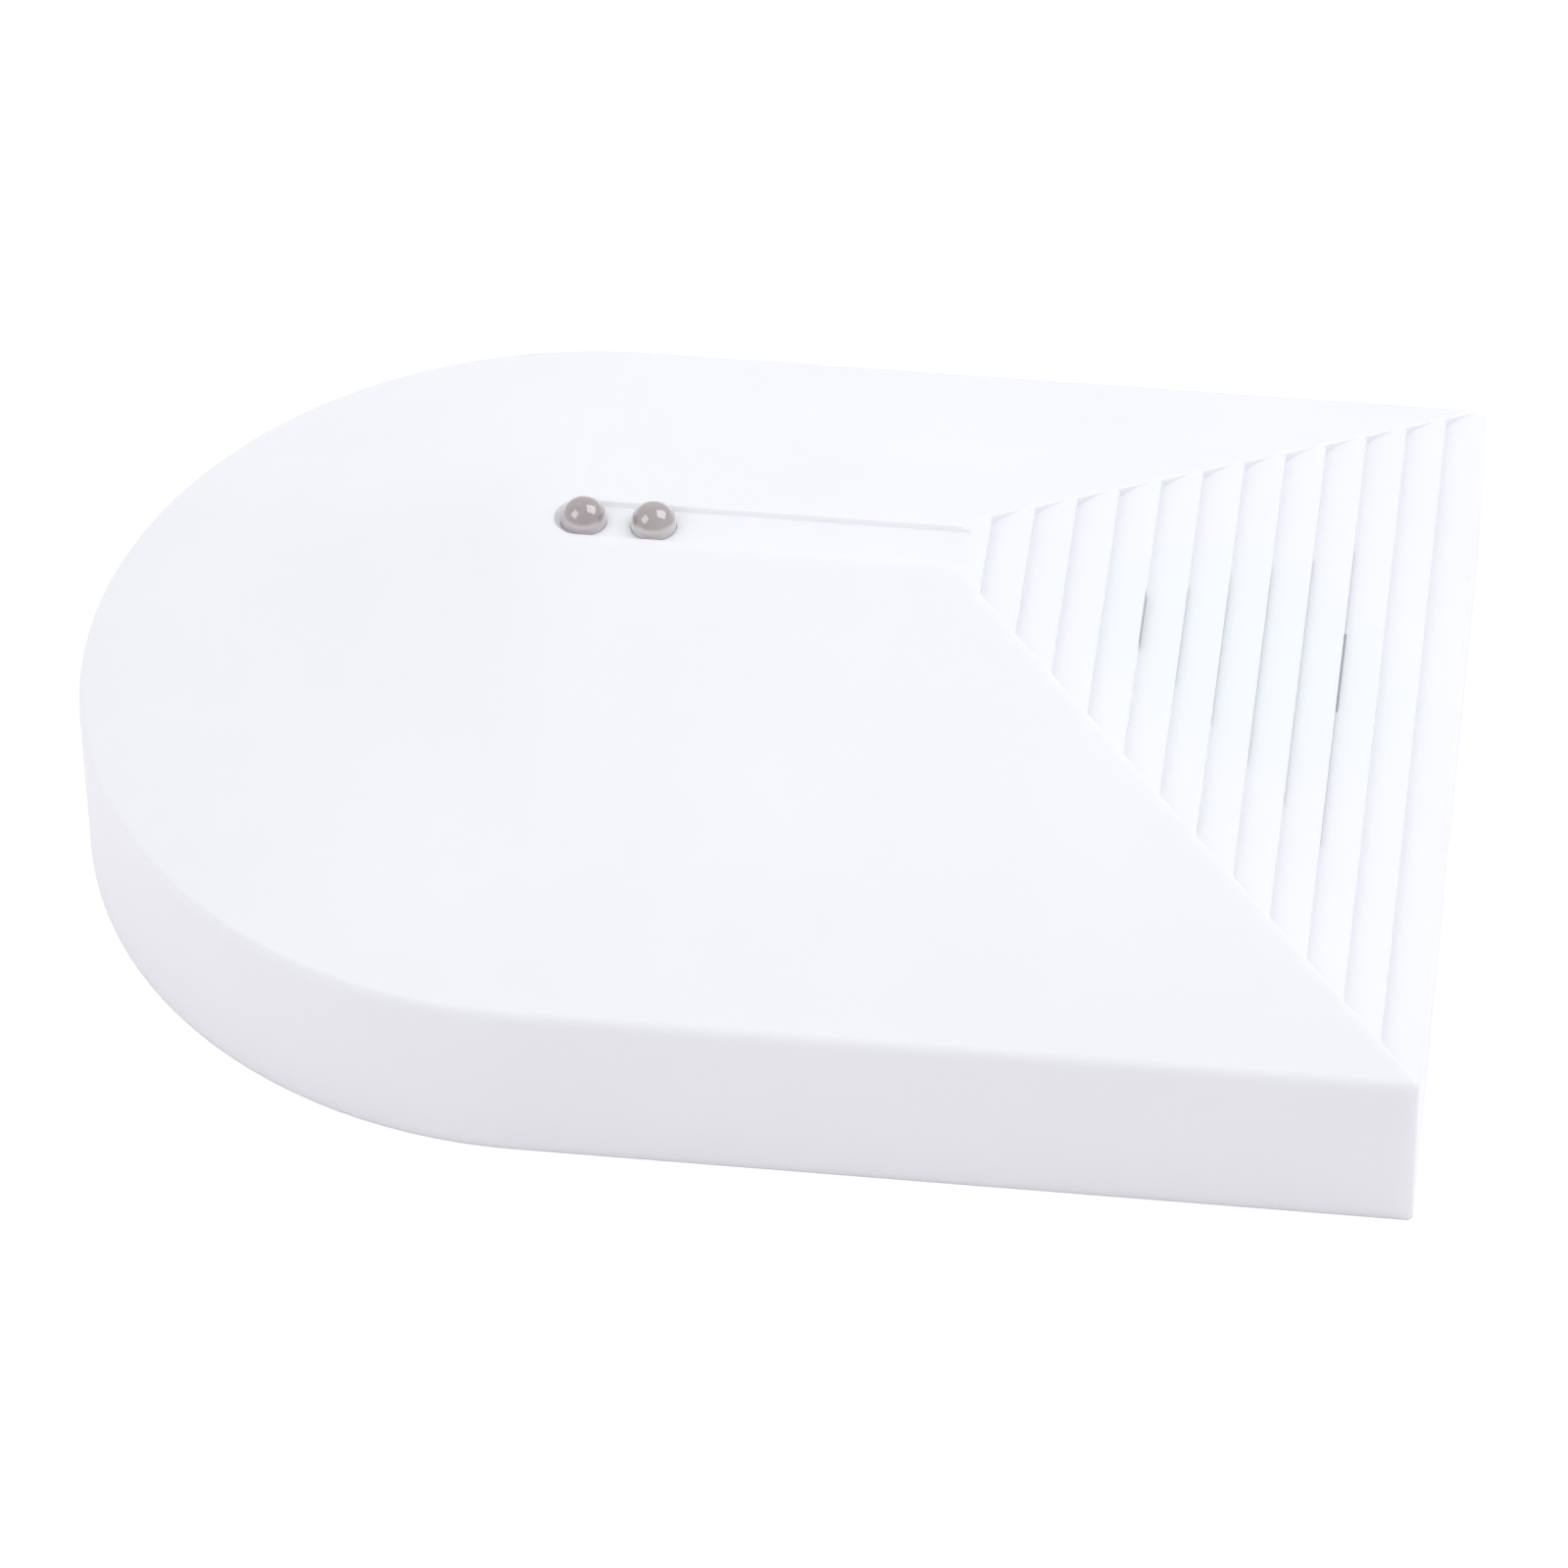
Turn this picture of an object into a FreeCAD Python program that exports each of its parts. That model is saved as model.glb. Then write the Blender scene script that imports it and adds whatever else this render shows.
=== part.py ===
import FreeCAD, Part
import math
import os

# A wired glass break detector lying on its back: a low D shaped case with a hipped roof.
# Lengths are in millimetres and angles in degrees.
# The origin is the middle of the back face, +X points to the straight end and +Z out of the front.

Vector = FreeCAD.Vector
UP = Vector(0, 0, 1)

# Case outline and roof
case_length = 93.0
case_width = 68.0
eave_height = 12.1
crown_height = 26.7
louvre_run = 35.9
ridge_cut = 1.0
shell_thickness = 2.0
eave_radius = 0.9
straight_end_radius = 0.45

# How far a cutting shape runs past the face that it opens, and how near an edge counts as at a height
overshoot = 1.0
edge_tolerance = 0.01

# Slot along the ridge that shows the two lights
slot_width = 3.56
slot_depth = 0.33
slot_draft = 0.16
slot_end_from_light = 0.2
slot_floor_skin = 1.8

# Stepped louvres
louvre_pitch = 2.626
last_groove_from_end = 2.7
groove_count = 12
tread_sink = 0.65
tread_middle_sink = 0.195
tread_share = 0.75
nose_radius = 0.35
hip_rim = 0.12
sound_pocket_skin = 1.2
sound_pocket_from_apex = 12.2
sound_pocket_from_end = 6.7
slit_width = 0.16
slit_lean = 40.0
wide_slit_width = 0.36
# Stretches where a slit is wider, under the groove's number from the ridge:
# low y, high y, and how far the slit opens out of the crease
wide_slits = {
    5: (-2.4, 2.2, 0.1),
    10: (-1.6, 6.3, 0.13),
}
cloth_thickness = 0.4
cloth_margin = 1.5

# Lights
led_diameter = 3.05
led_length = 5.3
led_flange_diameter = 3.8
led_flange_height = 1.0
led_flange_flat = 1.6
led_rise = 1.75
led_pitch = 4.7
first_led_from_centre = 0.5
led_hole_fit = 0.02
led_lead_side = 0.5
led_lead_pitch = 2.0
led_anvil_width = 1.1
led_anvil_height = 2.6
led_post_height = 2.3
led_cup_diameter = 0.8
led_cup_floor_diameter = 0.4
led_cup_depth = 0.35
spacer_width = 4.2
spacer_end_margin = 2.2

# Back plate and the pegs that hold the cover
plate_thickness = 2.2
plate_clearance = 0.2
lip_width = 1.2
lip_height = 2.0
peg_diameter = 3.0
peg_height = 8.1
peg_fit = 0.05
peg_boss_diameter = 6.0
peg_from_wall = 2.7
peg_end_gap = 0.25
boss_lip_gap = 0.3
prise_notch_width = 10.0
prise_notch_height = 1.3
prise_notch_depth = 1.0

# Holes that take the wall screws and the cable
wall_slot_spacing = 60.0
wall_slot_length = 8.0
wall_slot_width = 4.4
wall_slot_rim = 1.4
wall_slot_rim_height = 0.8
cable_hole_diameter = 8.0
cable_hole_from_side = 8.5

# Circuit board
board_thickness = 1.6
board_stand_off = 4.4
board_margin = 1.4
board_peg_gap = 0.9
wiring_bay_length = 25.0
wiring_bay_depth = 12.1
post_diameter = 6.0
left_post_from_side = 15.0
left_post_from_centre = 17.5
right_post_from_side = 8.0
right_post_from_end = 13.0
locating_pin_diameter = 1.8
locating_pin_height = 1.3
board_hole_clearance = 0.1

# Screws that hold the board
screw_diameter = 2.3
screw_head_diameter = 5.0
screw_head_height = 1.7
screw_head_rounding = 0.85
screw_length = 4.6
screw_fit = 0.05
recess_width = 0.8
recess_length = 2.8
recess_depth = 0.9

# Leads that pass through the board
lead_diameter = 0.6
lead_tail = 1.2
lead_hole_diameter = 0.9

# Microphone
microphone_from_end = 16.5
capsule_diameter = 9.7
capsule_height = 4.5
capsule_rim_width = 0.8
capsule_rim_depth = 0.3
capsule_rounding = 0.3
boot_wall = 1.4
boot_floor = 0.6
boot_fit = 0.05
boot_gap = 0.3
microphone_lead_pitch = 2.54

# Screw terminals
terminal_count = 7
terminal_pitch = 5.0
terminal_from_ridge = 7.6
terminal_depth = 7.6
terminal_centre_from_round = 13.0
terminal_floor = 0.6
terminal_wall = 1.05
terminal_end_wall = 0.2
screw_well_diameter = 3.7
screw_well_depth = 1.05
ledge_thickness = 0.6
clamp_width = 3.6
clamp_depth = 4.0
clamp_height = 4.5
clamp_sheet = 0.5
clamp_top = 0.7
clamp_floor_gap = 0.2
clamp_side_gap = 0.15
clamp_front_gap = 0.7
clamp_travel = 1.6
clamp_top_gap = 0.05
terminal_screw_diameter = 2.3
terminal_screw_head_diameter = 3.5
terminal_screw_head_height = 0.8
terminal_screw_slot = 0.6
terminal_screw_slot_depth = 0.4
thread_fit = 0.05
tongue_thickness = 1.0
tongue_width = 2.4
tongue_pin_width = 0.9
tongue_back = 0.35
tongue_gap = 0.1
wire_entry_width = 2.8
wire_entry_height = 2.5

# Tamper switch
tamper_from_post = (4.0, 6.0)
tamper_side = 6.2
tamper_height = 4.2
tamper_lid_thickness = 0.4
tamper_floor = 0.8
tamper_bore = 4.6
plunger_diameter = 3.4
plunger_flange_diameter = 4.4
plunger_flange_height = 0.5
plunger_top_above_lid = 1.5
plunger_rounding = 0.5
plunger_fit = 0.05
spring_height = 1.9
spring_outer_diameter = 4.0
spring_wire = 0.35
spring_turns = 3
spring_arcs_per_turn = 4
tamper_finger_diameter = 4.0
tamper_finger_gap = 0.3
tamper_lead_pitch = 4.5

# Sensitivity trimmer
trimmer_from_post = (4.0, 6.0)
trimmer_side = 6.8
trimmer_height = 4.4
trimmer_bore_depth = 1.6
rotor_diameter = 4.8
rotor_height = 1.55
rotor_fit = 0.05
rotor_slot_width = 0.7
rotor_slot_length = 3.4
rotor_slot_depth = 0.8
trimmer_lead_pitch = 2.54

# Setting jumpers
jumper_pitch = 2.54
jumper_pin_count = 4
jumper_pin_side = 0.64
jumper_pin_height = 4.6
jumper_base_height = 2.0
jumper_base_width = 2.4
jumper_from_ridge = 7.7
jumper_from_centre = 18.5
jumper_cap_height = 5.05
jumper_cap_length = 4.9
jumper_cap_width = 2.3
jumper_cap_roof = 0.35
jumper_cap_seat = 0.05
jumper_bore_side = 0.8

# Alarm relay
relay_from_centre = 16.4
relay_length = 15.4
relay_width = 10.4
relay_height = 11.6
relay_wall = 0.6
relay_base_height = 1.6
relay_base_fit = 0.05
relay_sheet = 0.9
yoke_width = 6.0
yoke_length = 9.1
yoke_height = 8.6
yoke_lift = 0.1
yoke_from_wall = 0.3
coil_length = 7.6
coil_diameter = 6.2
coil_flange_diameter = 7.0
coil_flange_thickness = 0.5
coil_drop = 0.25
pole_diameter = 3.4
pole_thickness = 0.4
armature_gap = 0.35
armature_thickness = 0.7
armature_width = 5.6
armature_drop = 7.4
carrier_length = 2.5
carrier_height = 0.8
blade_thickness = 0.3
blade_width = 2.4
blade_drop = 5.6
rivet_diameter = 1.4
rivet_height = 0.3
contact_strip_thickness = 0.3
contact_strip_width = 2.4
contact_strip_height = 5.4
closed_contact_gap = 0.15
open_contact_gap = 0.95
relay_pin_width = 0.6

# Parts soldered to the board
# A place is a distance to the round centre along X, then to the nearer long side along Y.
electrolytics_from_centre = (-7.5, -16.5)
electrolytic_diameters = (6.3, 5.0)
electrolytic_height = 7.0
electrolytic_groove = 0.25
electrolytic_groove_height = 1.25
electrolytic_rounding = 0.25
electrolytic_lead_pitch = 2.0
controller_place = (6.5, -15.5)
controller_size = (12.8, 7.5, 2.3)
controller_leads_per_side = 10
amplifier_place = (24.5, -17.5)
amplifier_size = (8.7, 3.9, 1.5)
amplifier_leads_per_side = 7
chip_lead_pitch = 1.27
chip_lead_width = 0.42
chip_lead_thickness = 0.22
chip_lead_reach = 1.25
chip_lead_foot = 0.7
chip_stand_off = 0.15
chip_dimple_inset = 1.0
chip_dimple_diameter = 0.84
chip_dimple_depth = 0.11
crystal_place = (24.5, -10.0)
crystal_size = (10.8, 4.4, 3.3)
regulator_place = (34.0, -21.5)
regulator_diameter = 4.6
regulator_flat = 1.3
regulator_height = 4.6
regulator_stand_off = 1.2
regulator_lead_pitch = 1.27
resistor_place = (33.5, 18.0)
resistor_count = 5
resistor_spacing = 3.0
resistor_diameter = 2.3
resistor_waist_diameter = 1.9
resistor_length = 6.3
resistor_cap_length = 1.5
resistor_cap_rounding = 0.3
resistor_lead_pitch = 10.16
diode_place = (38.0, -18.5)
diode_count = 2
diode_spacing = 4.0
diode_diameter = 2.6
diode_length = 5.0
diode_lead_pitch = 10.16
axial_lift = 0.15
chip_capacitor_size = (2.0, 1.25, 0.9)
chip_capacitor_places = (
    (-2.5, -20.5),
    (-2.5, -15.5),
    (-2.5, -10.5),
    (17.5, -19.5),
    (17.5, -15.5),
    (17.5, -10.0),
    (31.5, -25.0),
    (-10.0, -13.5),
)

# Places and heights that follow from the sizes above
round_radius = case_width / 2
round_centre_x = round_radius - case_length / 2
end_x = case_length / 2
apex_x = end_x - louvre_run
side_slope = (crown_height - eave_height) / round_radius
louvre_slope = (crown_height - eave_height) / louvre_run
side_lean = math.sqrt(1 + side_slope ** 2)
louvre_lean = math.sqrt(1 + louvre_slope ** 2)
hip_spread = round_radius / louvre_run
land_z = crown_height - ridge_cut
slot_floor_z = land_z - slot_depth
inner_radius = round_radius - shell_thickness
board_low_z = plate_thickness + board_stand_off
board_top_z = board_low_z + board_thickness
board_radius = inner_radius - board_margin
lead_low_z = board_low_z - lead_tail
led_top_z = slot_floor_z + led_rise
led_low_z = led_top_z - led_length
peg_radius = inner_radius - peg_from_wall
microphone_x = end_x - microphone_from_end
terminal_x = round_centre_x + terminal_centre_from_round
terminal_back_y = terminal_from_ridge
terminal_front_y = terminal_from_ridge + terminal_depth
clamp_low_z = board_top_z + terminal_floor + clamp_floor_gap
chamber_top_z = clamp_low_z + clamp_height + clamp_travel + clamp_top_gap
screw_well_z = chamber_top_z + ledge_thickness
terminal_top_z = screw_well_z + screw_well_depth
clamp_front_y = terminal_front_y - terminal_wall - clamp_front_gap
clamp_y = clamp_front_y - clamp_depth / 2
tongue_top_z = clamp_low_z + clamp_height - clamp_top - tongue_gap
tongue_low_z = tongue_top_z - tongue_thickness
left_post_x = round_centre_x - left_post_from_centre
tamper_x = left_post_x + tamper_from_post[0]
tamper_y = left_post_from_side - round_radius + tamper_from_post[1]
tamper_lid_z = board_top_z + tamper_height
plunger_top_z = tamper_lid_z + tamper_lid_thickness + plunger_top_above_lid
plunger_low_z = board_top_z + tamper_floor + spring_height
trimmer_x = left_post_x + trimmer_from_post[0]
trimmer_y = round_radius - left_post_from_side - trimmer_from_post[1]
jumper_x = round_centre_x + jumper_from_centre
relay_x = round_centre_x + relay_from_centre
relay_low_x = relay_x - relay_length / 2
yoke_low_x = relay_low_x + relay_wall + yoke_from_wall
yoke_low_z = board_top_z + relay_base_height + yoke_lift
yoke_top_z = yoke_low_z + yoke_height
armature_x = yoke_low_x + yoke_length + armature_gap


def block(low_x, high_x, low_y, high_y, low_z, high_z):
    """Return a box between two corners."""
    return Part.makeBox(high_x - low_x, high_y - low_y, high_z - low_z, Vector(low_x, low_y, low_z))


def centred_block(x, y, low_z, length, width, height):
    """Return a box that stands on low_z with its middle at x and y."""
    return Part.makeBox(length, width, height, Vector(x - length / 2, y - width / 2, low_z))


def rod(x, y, low_z, high_z, diameter):
    """Return an upright cylinder."""
    return Part.makeCylinder(diameter / 2, high_z - low_z, Vector(x, y, low_z))


def rod_along_x(low_x, high_x, y, z, diameter):
    """Return a cylinder that lies along X."""
    return Part.makeCylinder(diameter / 2, high_x - low_x, Vector(low_x, y, z), Vector(1, 0, 0))


def rod_along_y(x, low_y, high_y, z, diameter):
    """Return a cylinder that lies along Y."""
    return Part.makeCylinder(diameter / 2, high_y - low_y, Vector(x, low_y, z), Vector(0, 1, 0))


def prism(corners, travel):
    """Return the solid that a closed outline of corners sweeps along travel."""
    outline = Part.makePolygon(corners + corners[:1])
    return Part.Face(outline).extrude(travel)


def joined(shapes):
    """Return one solid made of shapes that meet."""
    first, *others = shapes
    return first.fuse(others).removeSplitter()


def louvre_z(x, inset=0.0):
    """Return the height of the louvre face at x, or of the face that lies inset below it."""
    return eave_height + louvre_slope * (end_x - x) - inset * louvre_lean


def roof_z(distance, inset=0.0):
    """Return the height of the roof at a distance from the ridge, or of the face inset below it."""
    return crown_height - side_slope * distance - inset * side_lean


def case_form(inset, low_z, top_z):
    """Return the case as a full solid, with every wall and roof face moved in by inset."""
    half = round_radius - inset
    eave = roof_z(half, inset)
    crown = roof_z(0, inset)
    straight = prism(
        [
            Vector(round_centre_x, -half, low_z),
            Vector(round_centre_x, half, low_z),
            Vector(round_centre_x, half, eave),
            Vector(round_centre_x, 0, crown),
            Vector(round_centre_x, -half, eave),
        ],
        Vector(end_x - inset - round_centre_x, 0, 0),
    )
    quarter = Part.Face(
        Part.makePolygon(
            [
                Vector(round_centre_x, 0, low_z),
                Vector(round_centre_x, half, low_z),
                Vector(round_centre_x, half, eave),
                Vector(round_centre_x, 0, crown),
                Vector(round_centre_x, 0, low_z),
            ]
        )
    )
    round_end = quarter.revolve(Vector(round_centre_x, 0, 0), UP, 180)
    form = joined([straight, round_end])
    above = crown_height + shell_thickness
    past_end = end_x + shell_thickness
    past_apex = apex_x - (above - louvre_z(apex_x, inset)) / louvre_slope
    over_louvre = prism(
        [
            Vector(past_apex, -case_width, above),
            Vector(past_end, -case_width, above),
            Vector(past_end, -case_width, louvre_z(past_end, inset)),
        ],
        Vector(0, 2 * case_width, 0),
    )
    over_ridge = block(-case_length, case_length, -case_width, case_width, top_z, 2 * above)
    return form.cut([over_louvre, over_ridge]).removeSplitter()


def edge_rounding(edge):
    """Return the radius that an edge of the plain case gets, or 0 for an edge that stays sharp."""
    box = edge.BoundBox
    if box.XMin > end_x - edge_tolerance and box.ZMax > edge_tolerance:
        return straight_end_radius
    at_eave = box.ZMin > eave_height - edge_tolerance and box.ZMax < eave_height + edge_tolerance
    return eave_radius if at_eave else 0


def outer_form():
    """Return the outside of the cover with its two square corners and its eaves rounded."""
    document = FreeCAD.newDocument("cover")
    plain = document.addObject("Part::Feature", "plain")
    plain.Shape = case_form(0, 0, land_z)
    rounded = document.addObject("Part::Fillet", "rounded")
    rounded.Base = plain
    radii = [(number, edge_rounding(edge)) for number, edge in enumerate(plain.Shape.Edges, 1)]
    rounded.Edges = [(number, radius, radius) for number, radius in radii if radius]
    document.recompute()
    return rounded.Shape.Solids[0]


def hip_triangle(rim, low_z, high_z):
    """Return the upright prism over the louvre face, held back from the hips by rim."""
    start_x = apex_x + rim * math.sqrt(1 + 1 / hip_spread ** 2)
    half = hip_spread * (end_x - start_x)
    return prism(
        [
            Vector(start_x, 0, low_z),
            Vector(end_x, half, low_z),
            Vector(end_x, -half, low_z),
        ],
        Vector(0, 0, high_z - low_z),
    )


def louvre_cut(groove_x):
    """Return what is cut away at one groove: the nose before it, the riser and the tread after it."""
    lip_x = groove_x + tread_share * louvre_pitch
    middle_x = (groove_x + lip_x) / 2
    above = shell_thickness
    lean = math.atan(louvre_slope)
    nose_centre = Vector(groove_x - nose_radius, 0, 0)
    nose_centre.z = louvre_z(nose_centre.x) - nose_radius / math.cos(lean)
    nose_start = nose_centre + Vector(nose_radius * math.sin(lean), 0, nose_radius * math.cos(lean))
    turn = (math.pi / 2 - lean) / 2
    nose_middle = nose_centre + Vector(nose_radius * math.cos(turn), 0, nose_radius * math.sin(turn))
    nose_end = nose_centre + Vector(nose_radius, 0, 0)
    foot = Vector(groove_x, 0, louvre_z(groove_x) - tread_sink)
    crest = Vector(middle_x, 0, louvre_z(middle_x) - tread_middle_sink)
    lip = Vector(lip_x, 0, louvre_z(lip_x))
    edges = [
        Part.Arc(nose_start, nose_middle, nose_end).toShape(),
        Part.makeLine(nose_end, foot),
        Part.Arc(foot, crest, lip).toShape(),
        Part.makeLine(lip, lip + Vector(0, 0, above)),
        Part.makeLine(lip + Vector(0, 0, above), nose_start + Vector(0, 0, above)),
        Part.makeLine(nose_start + Vector(0, 0, above), nose_start),
    ]
    section = Part.Face(Part.Wire(edges))
    section.translate(Vector(0, -case_width, 0))
    return section.extrude(Vector(0, 2 * case_width, 0))


def groove_places():
    """Return the place of each riser along X, from the ridge to the straight end."""
    last_x = end_x - last_groove_from_end
    return [last_x - louvre_pitch * step for step in reversed(range(groove_count))]


def louvre_column(start_x, stop_x):
    """Return a three cornered upright prism under the louvres, with its point at start_x."""
    half = hip_spread * (stop_x - start_x)
    return prism(
        [Vector(start_x, 0, 0), Vector(stop_x, half, 0), Vector(stop_x, -half, 0)],
        Vector(0, 0, crown_height),
    )


def sound_slit(groove_x, width, low_y, high_y, opening=0.0):
    """Return a slit that leads from the foot of a riser down and back under its nose."""
    reach = Vector(overshoot * math.tan(math.radians(slit_lean)), 0, overshoot)
    foot = Vector(groove_x + opening, low_y, louvre_z(groove_x) - tread_sink)
    across = Vector(width, 0, 0)
    return prism(
        [foot + reach, foot - reach, foot - reach - across, foot + reach - across],
        Vector(0, high_y - low_y, 0),
    )


def sound_openings():
    """Return the hollow behind the middle louvres and the slits that lead into it."""
    column = louvre_column(apex_x + sound_pocket_from_apex, end_x - sound_pocket_from_end)
    pocket = column.common(case_form(sound_pocket_skin / louvre_lean, 0, crown_height))
    places = groove_places()
    slits = [sound_slit(x, slit_width, -case_width, case_width) for x in places]
    for number, (low_y, high_y, opening) in wide_slits.items():
        slits.append(sound_slit(places[number - 1], wide_slit_width, low_y, high_y, opening))
    return Part.makeCompound(slits).common(column).Solids + [pocket]


def peg_places():
    """Return the places of the three pegs that the cover pushes on to."""
    corner_x = end_x - shell_thickness - peg_from_wall
    return (
        (round_centre_x - peg_radius, 0.0),
        (corner_x, -peg_radius),
        (corner_x, peg_radius),
    )


def light_slot():
    """Return what is cut away for the slot: round at one end, and run out of the louvres at the other."""
    round_x = round_centre_x + first_led_from_centre - slot_end_from_light
    run_out_x = end_x - (slot_floor_z - eave_height) / louvre_slope
    floor_half = slot_width / 2 - slot_draft
    spread = slot_draft / slot_depth
    height = crown_height - slot_floor_z
    top_half = floor_half + spread * height
    run = prism(
        [
            Vector(round_x, -floor_half, slot_floor_z),
            Vector(round_x, floor_half, slot_floor_z),
            Vector(round_x, top_half, crown_height),
            Vector(round_x, -top_half, crown_height),
        ],
        Vector(run_out_x - round_x, 0, 0),
    )
    round_end = Part.makeCone(floor_half, top_half, height, Vector(round_x, 0, slot_floor_z))
    return joined([run, round_end])


def front_cover():
    """Return the cover: shell, light slot, louvres, peg bosses and the finger over the tamper switch."""
    hollow = case_form(shell_thickness, -overshoot, slot_floor_z - slot_floor_skin)
    cover = outer_form().cut(hollow)
    grooves = Part.makeCompound([louvre_cut(x) for x in groove_places()])
    louvres = grooves.common(hip_triangle(hip_rim, eave_height / 2, 2 * crown_height))
    cover = cover.cut(louvres.Solids)
    cover = cover.cut(sound_openings())
    cover = cover.cut(light_slot())
    first_x = round_centre_x + first_led_from_centre
    for number in range(2):
        hole_x = first_x + number * led_pitch
        cover = cover.cut(rod(hole_x, 0, 0, crown_height, led_diameter + 2 * led_hole_fit))
    boss_low_z = plate_thickness + lip_height + boss_lip_gap
    bosses = [rod(x, y, boss_low_z, crown_height, peg_boss_diameter) for x, y in peg_places()]
    finger_low_z = plunger_top_z + tamper_finger_gap
    finger = rod(tamper_x, tamper_y, finger_low_z, crown_height, tamper_finger_diameter)
    inside = case_form(shell_thickness / 2, 0, land_z)
    cover = joined([cover] + [piece.common(inside) for piece in bosses + [finger]])
    peg_top_z = plate_thickness + peg_height + peg_end_gap
    for x, y in peg_places():
        cover = cover.cut(rod(x, y, 0, peg_top_z, peg_diameter + 2 * peg_fit))
    notch = block(
        end_x - prise_notch_depth,
        end_x + overshoot,
        -prise_notch_width / 2,
        prise_notch_width / 2,
        -overshoot,
        prise_notch_height,
    )
    return cover.cut(notch)


def dust_cloth():
    """Return the cloth glued under the louvres, a little larger than the sound pocket."""
    start_x = apex_x + sound_pocket_from_apex - cloth_margin / hip_spread
    stop_x = end_x - sound_pocket_from_end + cloth_margin
    band = prism(
        [
            Vector(start_x, -case_width, louvre_z(start_x, shell_thickness)),
            Vector(stop_x, -case_width, louvre_z(stop_x, shell_thickness)),
            Vector(stop_x, -case_width, louvre_z(stop_x, shell_thickness + cloth_thickness)),
            Vector(start_x, -case_width, louvre_z(start_x, shell_thickness + cloth_thickness)),
        ],
        Vector(0, 2 * case_width, 0),
    )
    return louvre_column(start_x, stop_x).common(band)


def plan_form(radius, stop_x, low_z, high_z):
    """Return a flat D shaped solid with its round end on the case's round centre."""
    return joined(
        [
            rod(round_centre_x, 0, low_z, high_z, 2 * radius),
            block(round_centre_x, stop_x, -radius, radius, low_z, high_z),
        ]
    )


def wall_slot_places():
    """Return the middles of the two slotted holes for the wall screws."""
    return (-wall_slot_spacing / 2, wall_slot_spacing / 2)


def slotted_rod(x, length, width, low_z, high_z):
    """Return an upright solid with a slot's outline, which is length long along X."""
    half = (length - width) / 2
    return joined(
        [
            rod(x - half, 0, low_z, high_z, width),
            rod(x + half, 0, low_z, high_z, width),
            block(x - half, x + half, -width / 2, width / 2, low_z, high_z),
        ]
    )


def cable_hole_place():
    """Return the middle of the cable hole, which lies under the wiring bay."""
    return (terminal_x, inner_radius - cable_hole_from_side)


def post_places():
    """Return the four posts that carry the board: the first and last take its screws."""
    left_y = round_radius - left_post_from_side
    right_x = end_x - right_post_from_end
    right_y = round_radius - right_post_from_side
    return ((left_post_x, -left_y), (left_post_x, left_y), (right_x, -right_y), (right_x, right_y))


def screw_places():
    """Return the places of the two board screws."""
    places = post_places()
    return (places[0], places[3])


def back_plate():
    """Return the plate that closes the cover from behind and is screwed to the wall."""
    radius = inner_radius - plate_clearance
    stop_x = end_x - shell_thickness - plate_clearance
    top_z = plate_thickness + lip_height
    plate = plan_form(radius, stop_x, 0, top_z)
    tray = plan_form(radius - lip_width, stop_x - lip_width, plate_thickness, top_z + overshoot)
    plate = plate.cut(tray)
    additions = []
    for x in wall_slot_places():
        length = wall_slot_length + 2 * wall_slot_rim
        width = wall_slot_width + 2 * wall_slot_rim
        rim_top_z = plate_thickness + wall_slot_rim_height
        additions.append(slotted_rod(x, length, width, 0, rim_top_z))
    for x, y in post_places():
        additions.append(rod(x, y, 0, board_low_z, post_diameter))
    for x, y in peg_places():
        additions.append(rod(x, y, 0, plate_thickness + peg_height, peg_diameter))
    for x, y in post_places():
        if (x, y) not in screw_places():
            additions.append(rod(x, y, 0, board_top_z + locating_pin_height, locating_pin_diameter))
    plate = joined([plate] + additions)
    holes = [
        slotted_rod(x, wall_slot_length, wall_slot_width, -overshoot, board_low_z)
        for x in wall_slot_places()
    ]
    for x, y in screw_places():
        pilot_low_z = board_top_z - screw_length - screw_fit
        holes.append(rod(x, y, pilot_low_z, board_top_z, screw_diameter + 2 * screw_fit))
    cable_x, cable_y = cable_hole_place()
    holes.append(rod(cable_x, cable_y, -overshoot, board_low_z, cable_hole_diameter))
    return plate.cut(holes)


def board_screws():
    """Return the two pan head screws that hold the board."""
    screws = []
    for x, y in screw_places():
        head_top_z = board_top_z + screw_head_height
        head = rod(x, y, board_top_z, head_top_z, screw_head_diameter)
        head = head.makeFillet(screw_head_rounding, [head.Edges[0]])
        shank = rod(x, y, board_top_z - screw_length, board_top_z, screw_diameter)
        recess_low_z = head_top_z - recess_depth
        across = centred_block(x, y, recess_low_z, recess_length, recess_width, screw_head_height)
        along = centred_block(x, y, recess_low_z, recess_width, recess_length, screw_head_height)
        screws.append(joined([head, shank]).cut([across, along]))
    return Part.makeCompound(screws)


def led_places():
    """Return the X places of the two lights."""
    first_x = round_centre_x + first_led_from_centre
    return (first_x, first_x + led_pitch)


def led_lead_places():
    """Return the X places of the two leads of each light."""
    return [x + side * led_lead_pitch / 2 for x in led_places() for side in (-1, 1)]


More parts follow.
